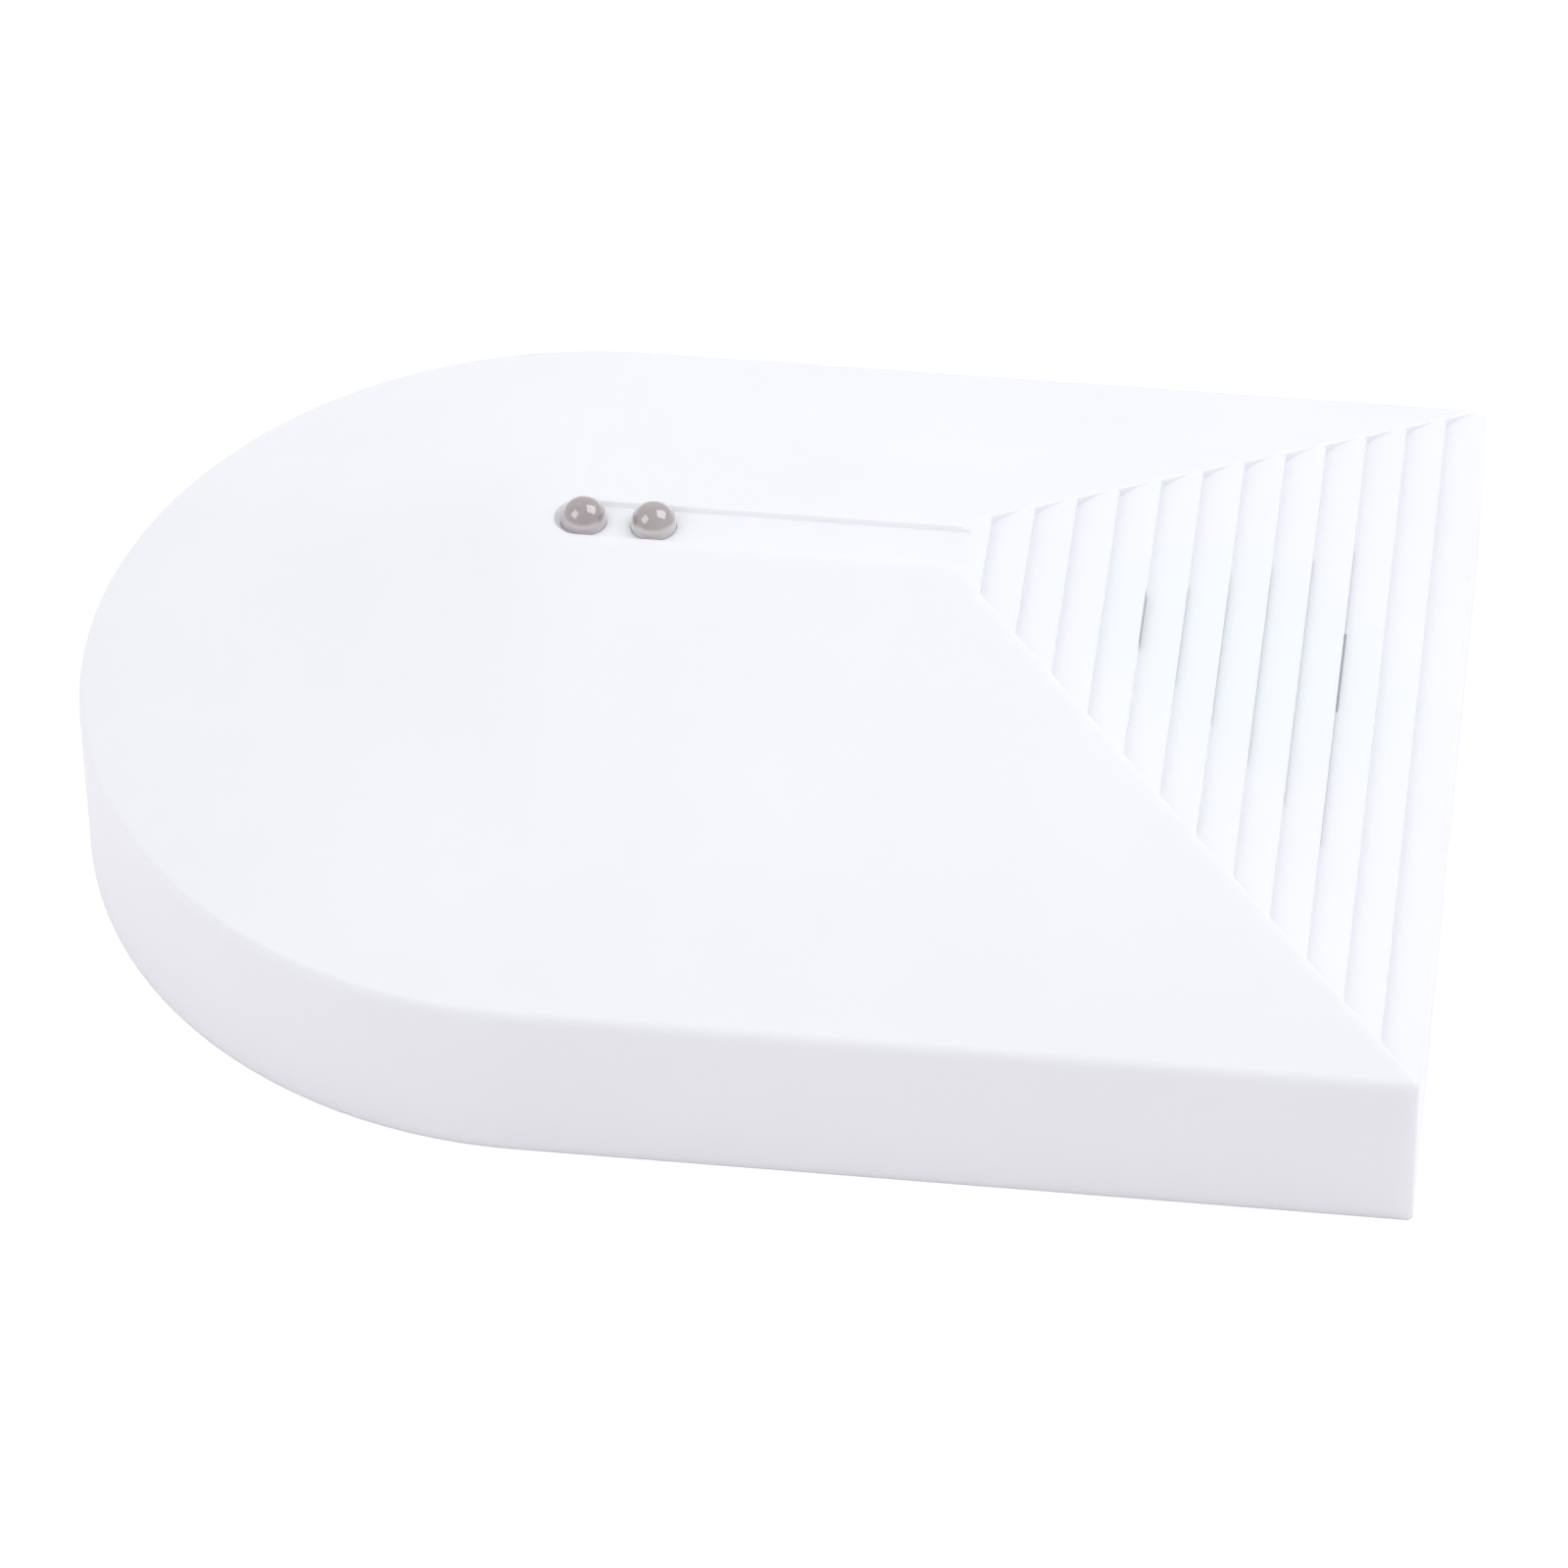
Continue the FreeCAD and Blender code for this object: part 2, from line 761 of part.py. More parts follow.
def led_leads():
    """Return the leads: one of each pair ends in the cup that holds the light's chip."""
    leads = []
    for x in led_places():
        cup_x = x - led_lead_pitch / 2
        post_x = x + led_lead_pitch / 2
        cup_top_z = led_low_z + led_anvil_height
        post_top_z = led_low_z + led_post_height
        cup_lead = centred_block(cup_x, 0, lead_low_z, led_lead_side, led_lead_side, cup_top_z - lead_low_z)
        bridge_high_x = x + led_anvil_width / 2
        anvil = block(
            cup_x - led_lead_side / 2,
            bridge_high_x - led_lead_side / 2,
            -led_anvil_width / 2,
            led_anvil_width / 2,
            cup_top_z - led_lead_side - led_cup_depth,
            cup_top_z,
        )
        cup_centre_x = (cup_x + bridge_high_x - led_lead_side) / 2
        cup = Part.makeCone(
            led_cup_floor_diameter / 2,
            led_cup_diameter / 2,
            led_cup_depth,
            Vector(cup_centre_x, 0, cup_top_z - led_cup_depth),
        )
        leads.append(joined([cup_lead, anvil]).cut(cup))
        leads.append(
            centred_block(post_x, 0, lead_low_z, led_lead_side, led_lead_side, post_top_z - lead_low_z)
        )
    return Part.makeCompound(leads)


def led(x):
    """Return the moulded body of the light at x, with its leads' inner ends cut out of it."""
    radius = led_diameter / 2
    flange_radius = led_flange_diameter / 2
    dome_z = led_top_z - radius
    flange_top_z = led_low_z + led_flange_height
    turn = math.sqrt(0.5)
    edges = [
        Part.Arc(
            Vector(x, 0, led_top_z),
            Vector(x + radius * turn, 0, dome_z + radius * turn),
            Vector(x + radius, 0, dome_z),
        ).toShape(),
        Part.makeLine(Vector(x + radius, 0, dome_z), Vector(x + radius, 0, flange_top_z)),
        Part.makeLine(Vector(x + radius, 0, flange_top_z), Vector(x + flange_radius, 0, flange_top_z)),
        Part.makeLine(Vector(x + flange_radius, 0, flange_top_z), Vector(x + flange_radius, 0, led_low_z)),
        Part.makeLine(Vector(x + flange_radius, 0, led_low_z), Vector(x, 0, led_low_z)),
        Part.makeLine(Vector(x, 0, led_low_z), Vector(x, 0, led_top_z)),
    ]
    body = Part.Face(Part.Wire(edges)).revolve(Vector(x, 0, 0), UP, 360)
    flat = block(
        x - led_flange_diameter,
        x - led_flange_flat,
        -led_flange_diameter,
        led_flange_diameter,
        led_low_z - overshoot,
        led_top_z,
    )
    return body.cut([flat] + led_leads().Solids)


def led_spacer():
    """Return the block that stands on the board and carries both lights."""
    low_x, high_x = led_places()
    spacer = block(
        low_x - spacer_end_margin,
        high_x + spacer_end_margin,
        -spacer_width / 2,
        spacer_width / 2,
        board_top_z,
        led_low_z,
    )
    holes = [rod(x, 0, 0, led_top_z, lead_hole_diameter) for x in led_lead_places()]
    return spacer.cut(holes)


def microphone_boot():
    """Return the rubber boot: its top is cut to the slope of the cloth above it."""
    outer = capsule_diameter + 2 * (boot_fit + boot_wall)
    bore = capsule_diameter + 2 * boot_fit
    boot = rod(microphone_x, 0, board_top_z, crown_height, outer)
    boot = boot.cut(rod(microphone_x, 0, board_top_z + boot_floor, crown_height, bore))
    boot = boot.common(case_form(shell_thickness + cloth_thickness + boot_gap, 0, crown_height))
    holes = [rod(x, 0, 0, crown_height, lead_hole_diameter) for x in microphone_lead_places()]
    return boot.cut(holes)


def microphone_lead_places():
    """Return the X places of the capsule's two pins."""
    half = microphone_lead_pitch / 2
    return (microphone_x - half, microphone_x + half)


def microphone_capsule():
    """Return the capsule's can, with its rolled rim and its two pins."""
    low_z = board_top_z + boot_floor
    top_z = low_z + capsule_height
    can = rod(microphone_x, 0, low_z, top_z, capsule_diameter)
    can = can.makeFillet(capsule_rounding, [can.Edges[0]])
    mouth = capsule_diameter - 2 * capsule_rim_width
    can = can.cut(rod(microphone_x, 0, top_z - capsule_rim_depth, top_z + overshoot, mouth))
    pins = [rod(x, 0, lead_low_z, low_z, lead_diameter) for x in microphone_lead_places()]
    return joined([can] + pins)


def microphone_felt():
    """Return the felt disc that lies in the capsule's rim."""
    top_z = board_top_z + boot_floor + capsule_height
    diameter = capsule_diameter - 2 * capsule_rim_width - 2 * boot_fit
    return rod(microphone_x, 0, top_z - capsule_rim_depth, top_z - boot_fit, diameter)


def terminal_places():
    """Return the X place of each screw terminal."""
    half = (terminal_count - 1) / 2
    return [terminal_x + (number - half) * terminal_pitch for number in range(terminal_count)]


def terminal_pin_y():
    """Return how far back the terminals' solder pins stand."""
    return clamp_front_y - clamp_depth - tongue_gap - tongue_back / 2


def terminal_housing():
    """Return the terminal block's moulding with a chamber, a screw well and a wire entry each way."""
    places = terminal_places()
    housing = block(
        places[0] - terminal_pitch / 2 - terminal_end_wall,
        places[-1] + terminal_pitch / 2 + terminal_end_wall,
        terminal_back_y,
        terminal_front_y,
        board_top_z,
        terminal_top_z,
    )
    entry_middle_z = (clamp_low_z + clamp_sheet + tongue_low_z) / 2
    entry_low_z = entry_middle_z - wire_entry_height / 2
    chamber_half = clamp_width / 2 + clamp_side_gap
    pin_y = terminal_pin_y()
    holes = []
    for x in places:
        holes.append(
            block(
                x - chamber_half,
                x + chamber_half,
                pin_y - tongue_back / 2,
                terminal_front_y - terminal_wall,
                board_top_z + terminal_floor,
                chamber_top_z,
            )
        )
        holes.append(rod(x, clamp_y, screw_well_z, crown_height, screw_well_diameter))
        shank_hole = terminal_screw_diameter + 2 * thread_fit
        holes.append(rod(x, clamp_y, chamber_top_z - overshoot, crown_height, shank_hole))
        holes.append(
            block(
                x - wire_entry_width / 2,
                x + wire_entry_width / 2,
                terminal_front_y - terminal_wall - overshoot,
                terminal_front_y + overshoot,
                entry_low_z,
                entry_low_z + wire_entry_height,
            )
        )
        pin_hole = tongue_pin_width + 2 * board_hole_clearance
        holes.append(rod(x, pin_y, 0, board_top_z + overshoot, pin_hole))
    return housing.cut(holes)


def terminal_contacts():
    """Return the tongue and solder pin of each terminal."""
    contacts = []
    pin_y = terminal_pin_y()
    for x in terminal_places():
        half = tongue_width / 2
        back_low_y = pin_y - tongue_back / 2
        back = block(
            x - half,
            x + half,
            back_low_y,
            back_low_y + tongue_back,
            board_top_z + terminal_floor,
            tongue_top_z,
        )
        tongue = block(x - half, x + half, back_low_y, clamp_front_y, tongue_low_z, tongue_top_z)
        pin = rod(x, pin_y, lead_low_z, board_top_z + terminal_floor, tongue_pin_width)
        contacts.append(joined([back, tongue, pin]))
    return Part.makeCompound(contacts)


def terminal_screw(x):
    """Return the slotted clamp screw of the terminal at x."""
    head_low_z = screw_well_z + thread_fit
    head_top_z = head_low_z + terminal_screw_head_height
    head = rod(x, clamp_y, head_low_z, head_top_z, terminal_screw_head_diameter)
    shank = rod(x, clamp_y, tongue_top_z + thread_fit, head_low_z, terminal_screw_diameter)
    slot = centred_block(
        x,
        clamp_y,
        head_top_z - terminal_screw_slot_depth,
        2 * terminal_screw_head_diameter,
        terminal_screw_slot,
        terminal_screw_head_height,
    )
    return joined([head, shank]).cut(slot)


def terminal_clamp(x):
    """Return the rising clamp of the terminal at x: a square loop threaded on the screw."""
    half = clamp_width / 2
    top_z = clamp_low_z + clamp_height
    loop = block(x - half, x + half, clamp_front_y - clamp_depth, clamp_front_y, clamp_low_z, top_z)
    window = block(
        x - half + clamp_sheet,
        x + half - clamp_sheet,
        clamp_front_y - clamp_depth - overshoot,
        clamp_front_y + overshoot,
        clamp_low_z + clamp_sheet,
        top_z - clamp_top,
    )
    thread_diameter = terminal_screw_diameter + 2 * thread_fit
    thread = rod(x, clamp_y, top_z - clamp_top - overshoot, top_z + overshoot, thread_diameter)
    return loop.cut([window, thread])


def tamper_body():
    """Return the tamper switch's moulding with the bore of its plunger and spring."""
    body = centred_block(tamper_x, tamper_y, board_top_z, tamper_side, tamper_side, tamper_height)
    return body.cut(rod(tamper_x, tamper_y, board_top_z + tamper_floor, crown_height, tamper_bore))


def tamper_lid():
    """Return the steel lid that keeps the plunger in."""
    lid = centred_block(
        tamper_x, tamper_y, tamper_lid_z, tamper_side, tamper_side, tamper_lid_thickness
    )
    return lid.cut(rod(tamper_x, tamper_y, 0, crown_height, plunger_diameter + 2 * plunger_fit))


def tamper_plunger():
    """Return the plunger with the flange that the lid holds down."""
    flange_top_z = plunger_low_z + plunger_flange_height
    flange = rod(tamper_x, tamper_y, plunger_low_z, flange_top_z, plunger_flange_diameter)
    stem = rod(tamper_x, tamper_y, flange_top_z, plunger_top_z, plunger_diameter)
    stem = stem.makeFillet(plunger_rounding, [stem.Edges[0]])
    return joined([flange, stem])


def arc_from(start, heading, corner, stop):
    """Return the arc that leaves start along heading, bends at corner and ends at stop."""
    middle = (start + stop) * 0.5
    turn = heading.getAngle(stop - corner)
    sagitta = (stop - start).Length / 2 * math.tan(turn / 4)
    return Part.Arc(start, middle + (corner - middle).normalize() * sagitta, stop).toShape()


def helix_path(radius, pitch, turns, arcs_per_turn):
    """Return a coil's middle line as pairs of arcs that meet in line with each other."""
    step = 2 * math.pi / arcs_per_turn
    rise = pitch / arcs_per_turn
    arcs = []
    for number in range(turns * arcs_per_turn):
        ends = []
        for angle, height in ((number * step, number * rise), ((number + 1) * step, (number + 1) * rise)):
            place = Vector(radius * math.cos(angle), radius * math.sin(angle), height)
            heading = Vector(-math.sin(angle), math.cos(angle), rise / step / radius).normalize()
            ends.append((place, heading))
        (start, out), (stop, home) = ends
        chord = stop - start
        spread = 2 * (1 - out.dot(home))
        along = chord.dot(out + home)
        reach = (math.sqrt(along ** 2 + spread * chord.dot(chord)) - along) / spread
        near = start + out * reach
        far = stop - home * reach
        meet = (near + far) * 0.5
        arcs.append(arc_from(start, out, near, meet))
        arcs.append(arc_from(meet, far - near, far, stop))
    return Part.Wire(arcs)


def tamper_spring():
    """Return the coil spring that stands on the bore's floor under the plunger."""
    pitch = (spring_height - spring_wire) / spring_turns
    radius = (spring_outer_diameter - spring_wire) / 2
    path = helix_path(radius, pitch, spring_turns, spring_arcs_per_turn)
    section = Part.Wire(Part.makeCircle(spring_wire / 2, Vector(radius, 0, 0), Vector(0, 1, 0)))
    coil = path.makePipeShell([section], True, False)
    coil.translate(Vector(tamper_x, tamper_y, board_top_z + tamper_floor + spring_wire / 2))
    return coil


def tamper_pin_places():
    """Return the places of the tamper switch's pins."""
    half = tamper_lead_pitch / 2
    return [(tamper_x + i * half, tamper_y + j * half) for i in (-1, 1) for j in (-1, 1)]


def trimmer_body():
    """Return the trimmer's moulding with the well of its rotor."""
    body = centred_block(trimmer_x, trimmer_y, board_top_z, trimmer_side, trimmer_side, trimmer_height)
    top_z = board_top_z + trimmer_height
    bore = rotor_diameter + 2 * rotor_fit
    return body.cut(rod(trimmer_x, trimmer_y, top_z - trimmer_bore_depth, top_z + overshoot, bore))


def trimmer_rotor():
    """Return the trimmer's rotor with its crossed screwdriver slots."""
    low_z = board_top_z + trimmer_height - trimmer_bore_depth + rotor_fit
    top_z = low_z + rotor_height
    rotor = rod(trimmer_x, trimmer_y, low_z, top_z, rotor_diameter)
    slot_low_z = top_z - rotor_slot_depth
    along = centred_block(
        trimmer_x, trimmer_y, slot_low_z, rotor_slot_width, rotor_slot_length, rotor_height
    )
    across = centred_block(
        trimmer_x, trimmer_y, slot_low_z, rotor_slot_length, rotor_slot_width, rotor_height
    )
    return rotor.cut([along, across])


def trimmer_pin_places():
    """Return the places of the trimmer's three pins."""
    pitch = trimmer_lead_pitch
    return [
        (trimmer_x - pitch, trimmer_y - pitch),
        (trimmer_x + pitch, trimmer_y - pitch),
        (trimmer_x, trimmer_y + pitch),
    ]


def jumper_pin_places():
    """Return the X place of each jumper pin."""
    half = (jumper_pin_count - 1) / 2
    return [jumper_x + (number - half) * jumper_pitch for number in range(jumper_pin_count)]


def jumper_header():
    """Return the header's moulding."""
    length = jumper_pin_count * jumper_pitch
    base = centred_block(
        jumper_x, -jumper_from_ridge, board_top_z, length, jumper_base_width, jumper_base_height
    )
    holes = [
        centred_block(x, -jumper_from_ridge, 0, jumper_pin_side, jumper_pin_side, crown_height)
        for x in jumper_pin_places()
    ]
    return base.cut(holes)


def jumper_pins():
    """Return the header's square pins."""
    height = board_top_z + jumper_base_height + jumper_pin_height - lead_low_z
    pins = [
        centred_block(x, -jumper_from_ridge, lead_low_z, jumper_pin_side, jumper_pin_side, height)
        for x in jumper_pin_places()
    ]
    return Part.makeCompound(pins)


def jumper_cap(number):
    """Return the pull-off cap that bridges pair number of the pins."""
    left_x, right_x = jumper_pin_places()[2 * number : 2 * number + 2]
    low_z = board_top_z + jumper_base_height + jumper_cap_seat
    cap = centred_block(
        (left_x + right_x) / 2,
        -jumper_from_ridge,
        low_z,
        jumper_cap_length,
        jumper_cap_width,
        jumper_cap_height,
    )
    bore_height = jumper_cap_height - jumper_cap_roof
    bores = [
        centred_block(x, -jumper_from_ridge, low_z, jumper_bore_side, jumper_bore_side, bore_height)
        for x in (left_x, right_x)
    ]
    return cap.cut(bores)


def relay_cover():
    """Return the relay's case, open below."""
    case = centred_block(relay_x, 0, board_top_z, relay_length, relay_width, relay_height)
    hollow = centred_block(
        relay_x,
        0,
        board_top_z - overshoot,
        relay_length - 2 * relay_wall,
        relay_width - 2 * relay_wall,
        relay_height - relay_wall + overshoot,
    )
    return case.cut(hollow)


def relay_pin_places():
    """Return the places of the relay's pins: two for the coil and three for the contacts."""
    coil_x = yoke_low_x + relay_sheet / 2
    side_y = yoke_width / 2
    moving_x = armature_x + armature_thickness + carrier_length / 2
    return [
        (coil_x, -side_y),
        (coil_x, side_y),
        (open_contact_x() + contact_strip_thickness / 2, -contact_strip_width / 2),
        (closed_contact_x() + contact_strip_thickness / 2, contact_strip_width / 2),
        (moving_x, side_y),
    ]


def blade_x():
    """Return the near face of the moving contact blade."""
    return armature_x + armature_thickness + carrier_length - blade_thickness


def open_contact_x():
    """Return the near face of the contact that the blade stands clear of at rest."""
    return blade_x() - rivet_height - open_contact_gap - contact_strip_thickness


def closed_contact_x():
    """Return the near face of the contact that the blade leans on at rest."""
    return blade_x() + blade_thickness + rivet_height + closed_contact_gap


def relay_base():
    """Return the relay's base with its pins' holes."""
    base = centred_block(
        relay_x,
        0,
        board_top_z,
        relay_length - 2 * relay_wall - 2 * relay_base_fit,
        relay_width - 2 * relay_wall - 2 * relay_base_fit,
        relay_base_height,
    )
    return base.cut([rod(x, y, 0, crown_height, relay_pin_width) for x, y in relay_pin_places()])


def relay_yoke():
    """Return the relay's bent iron yoke."""
    half = yoke_width / 2
    back = block(
        yoke_low_x,
        yoke_low_x + relay_sheet,
        -half,
        half,
        board_top_z + relay_base_height,
        yoke_top_z,
    )
    top = block(
        yoke_low_x, yoke_low_x + yoke_length, -half, half, yoke_top_z - relay_sheet, yoke_top_z
    )
    return joined([back, top])


def relay_coil():
    """Return the relay's wound bobbin and its pole face."""
    low_x = yoke_low_x + relay_sheet
    z = yoke_top_z - relay_sheet - coil_drop - coil_flange_diameter / 2
    winding = rod_along_x(low_x, low_x + coil_length, 0, z, coil_diameter)
    near = rod_along_x(low_x, low_x + coil_flange_thickness, 0, z, coil_flange_diameter)
    far_x = low_x + coil_length
    far = rod_along_x(far_x - coil_flange_thickness, far_x, 0, z, coil_flange_diameter)
    pole = rod_along_x(far_x, far_x + pole_thickness, 0, z, pole_diameter)
    return joined([winding, near, far, pole])


def relay_armature():
    """Return the armature with the carrier and blade of its moving contact."""
    half = armature_width / 2
    plate = block(
        armature_x,
        armature_x + armature_thickness,
        -half,
        half,
        yoke_top_z - armature_drop,
        yoke_top_z,
    )
    blade_low_x = blade_x()
    carrier = block(
        armature_x + armature_thickness,
        blade_low_x + blade_thickness,
        -blade_width / 2,
        blade_width / 2,
        yoke_top_z - carrier_height,
        yoke_top_z,
    )
    blade = block(
        blade_low_x,
        blade_low_x + blade_thickness,
        -blade_width / 2,
        blade_width / 2,
        yoke_top_z - blade_drop,
        yoke_top_z,
    )
    rivet_z = yoke_top_z - blade_drop + rivet_diameter
    rivet = rod_along_x(
        blade_low_x - rivet_height,
        blade_low_x + blade_thickness + rivet_height,
        0,
        rivet_z,
        rivet_diameter,
    )
    return joined([plate, carrier, blade, rivet])


def relay_contacts():
    """Return the relay's fixed contact strips and all its pins."""
    base_top_z = board_top_z + relay_base_height
    pieces = []
    for x in (open_contact_x(), closed_contact_x()):
        pieces.append(
            block(
                x,
                x + contact_strip_thickness,
                -contact_strip_width / 2,
                contact_strip_width / 2,
                base_top_z,
                base_top_z + contact_strip_height,
            )
        )
    pins = [rod(x, y, lead_low_z, base_top_z, relay_pin_width) for x, y in relay_pin_places()]
    open_strip, closed_strip = pieces
    return Part.makeCompound(
        [pins[0], pins[1], joined([open_strip, pins[2]]), joined([closed_strip, pins[3]]), pins[4]]
    )


def electrolytic_capacitors():
    """Return the two upright capacitors, each with the groove rolled in near its foot."""
    cans = []
    for from_centre, diameter in zip(electrolytics_from_centre, electrolytic_diameters):
        x = round_centre_x + from_centre
        can = rod(x, 0, board_top_z, board_top_z + electrolytic_height, diameter)
        can = can.makeFillet(electrolytic_rounding, [can.Edges[0], can.Edges[2]])
        groove_z = board_top_z + electrolytic_groove_height
        ring_radius = (diameter + electrolytic_groove) / 2
        ring = Part.makeTorus(ring_radius, electrolytic_groove, Vector(x, 0, groove_z))
        cans.append(can.cut(ring))
    return Part.makeCompound(cans)


def board_place(place):
    """Return the X and Y of a place given by its distances to the round centre and the nearer side."""
    from_centre, from_side = place
    return (round_centre_x + from_centre, math.copysign(round_radius, from_side) - from_side)


def chip(place, size):
    """Return a small chip's moulded body."""
    x, y = board_place(place)
    length, width, height = size
    body = centred_block(x, y, board_top_z + chip_stand_off, length, width, height)
    dimple = rod(
        x - length / 2 + chip_dimple_inset,
        y - width / 2 + chip_dimple_inset,
        board_top_z + chip_stand_off + height - chip_dimple_depth,
        crown_height,
        chip_dimple_diameter,
    )
    return body.cut(dimple)


def chip_leads(place, size, leads_per_side):
    """Return the bent leads along both sides of a chip."""
    x, y = board_place(place)
    width, height = size[1], size[2]
    shoulder_z = board_top_z + chip_stand_off + height / 2
    half = width / 2
    foot_y = half + chip_lead_reach
    bend_y = foot_y - chip_lead_foot
    thick = chip_lead_thickness
    outline = (
        (half, shoulder_z),
        (bend_y, shoulder_z),
        (bend_y, board_top_z + thick),
        (foot_y, board_top_z + thick),
        (foot_y, board_top_z),
        (bend_y - thick, board_top_z),
        (bend_y - thick, shoulder_z - thick),
        (half, shoulder_z - thick),
    )
    leads = []
    for number in range(leads_per_side):
        lead_x = x + (number - (leads_per_side - 1) / 2) * chip_lead_pitch - chip_lead_width / 2
        for side in (-1, 1):
            corners = [Vector(lead_x, y + side * reach, z) for reach, z in outline]
            leads.append(prism(corners, Vector(chip_lead_width, 0, 0)))
    return Part.makeCompound(leads)


def crystal():
    """Return the crystal's round ended can."""
    x, y = board_place(crystal_place)
    length, width, height = crystal_size
    half = (length - width) / 2
    can = joined(
        [
            rod(x - half, y, board_top_z, board_top_z + height, width),
            rod(x + half, y, board_top_z, board_top_z + height, width),
            centred_block(x, y, board_top_z, 2 * half, width, height),
        ]
    )
    return can


def regulator():
    """Return the voltage regulator's body with its flat front."""
    x, y = board_place(regulator_place)
    low_z = board_top_z + regulator_stand_off
    body = rod(x, y, low_z, low_z + regulator_height, regulator_diameter)
    flat = block(
        x - regulator_diameter,
        x + regulator_diameter,
        y + regulator_flat,
        y + regulator_diameter,
        low_z - overshoot,
        crown_height,
    )
    return body.cut(flat)


def regulator_lead_places():
    """Return the places of the regulator's three leads."""
    x, y = board_place(regulator_place)
    return [(x + step * regulator_lead_pitch, y) for step in (-1, 0, 1)]


def resistor_places():
    """Return the middle of each resistor, which lies along Y."""
    x, y = board_place(resistor_place)
    return [(x + number * resistor_spacing, y) for number in range(resistor_count)]


def resistors():
    """Return the resistors' bodies, each with an end cap thicker than its waist."""
    z = board_top_z + axial_lift + resistor_diameter / 2
    bodies = []
    for x, y in resistor_places():
        low_y = y - resistor_length / 2
        high_y = y + resistor_length / 2
        waist = rod_along_y(x, low_y, high_y, z, resistor_waist_diameter)
        near = rod_along_y(x, low_y, low_y + resistor_cap_length, z, resistor_diameter)
        far = rod_along_y(x, high_y - resistor_cap_length, high_y, z, resistor_diameter)
        near = near.makeFillet(resistor_cap_rounding, near.Edges[0::2])
        far = far.makeFillet(resistor_cap_rounding, far.Edges[0::2])
        bodies.append(joined([waist, near, far]))
    return Part.makeCompound(bodies)


def diode_places():
    """Return the middle of each diode, which lies along Y."""
    x, y = board_place(diode_place)
    return [(x + number * diode_spacing, y) for number in range(diode_count)]


def diodes():
    """Return the diodes' moulded bodies."""
    z = board_top_z + axial_lift + diode_diameter / 2
    return Part.makeCompound(
        [
            rod_along_y(x, y - diode_length / 2, y + diode_length / 2, z, diode_diameter)
            for x, y in diode_places()
        ]
    )


def ceramic_capacitors():
    """Return the small block capacitors that lie flat on the board."""
    length, width, height = chip_capacitor_size
    return Part.makeCompound(
        [
            centred_block(*board_place(place), board_top_z, length, width, height)
            for place in chip_capacitor_places
        ]
    )


def axial_leads(places, body_length, body_diameter, pitch):
    """Return the two bent leads of each part that lies along Y."""
    z = board_top_z + axial_lift + body_diameter / 2
    leads = []
    for x, y in places:
        for side in (-1, 1):
            body_y = y + side * body_length / 2
            hole_y = y + side * pitch / 2
            low_y, high_y = sorted((body_y, hole_y))
            across = rod_along_y(x, low_y, high_y, z, lead_diameter)
            down = rod(x, hole_y, lead_low_z, z, lead_diameter)
            bend = Part.makeSphere(lead_diameter / 2, Vector(x, hole_y, z))
            leads.append(joined([across, down, bend]))
    return leads


def upright_lead_places():
    """Return the places of the straight leads under upright parts."""
    places = []
    for from_centre in electrolytics_from_centre:
        for side in (-1, 1):
            places.append((round_centre_x + from_centre, side * electrolytic_lead_pitch / 2))
    places += tamper_pin_places()
    places += trimmer_pin_places()
    return places


def component_leads():
    """Return the leads of the capacitors, switch, trimmer, regulator, resistors and diodes."""
    leads = [rod(x, y, lead_low_z, board_top_z, lead_diameter) for x, y in upright_lead_places()]
    regulator_low_z = board_top_z + regulator_stand_off
    for x, y in regulator_lead_places():
        leads.append(rod(x, y, lead_low_z, regulator_low_z, lead_diameter))
    leads += axial_leads(resistor_places(), resistor_length, resistor_diameter, resistor_lead_pitch)
    leads += axial_leads(diode_places(), diode_length, diode_diameter, diode_lead_pitch)
    return Part.makeCompound(leads)


def board_hole_places():
    """Return the place and diameter of each hole that a lead passes through."""
    round_leads = upright_lead_places() + regulator_lead_places()
    for places, pitch in ((resistor_places(), resistor_lead_pitch), (diode_places(), diode_lead_pitch)):
        for x, y in places:
            round_leads.append((x, y - pitch / 2))
            round_leads.append((x, y + pitch / 2))
    round_leads += [(x, 0) for x in microphone_lead_places()]
    round_leads += [(x, 0) for x in led_lead_places()]
    round_leads += relay_pin_places()
    holes = [(x, y, lead_hole_diameter) for x, y in round_leads]
    tongue_hole = tongue_pin_width + 2 * board_hole_clearance
    holes += [(x, terminal_pin_y(), tongue_hole) for x in terminal_places()]
    jumper_hole = jumper_pin_side * math.sqrt(2) + 2 * board_hole_clearance
    holes += [(x, -jumper_from_ridge, jumper_hole) for x in jumper_pin_places()]
    return holes


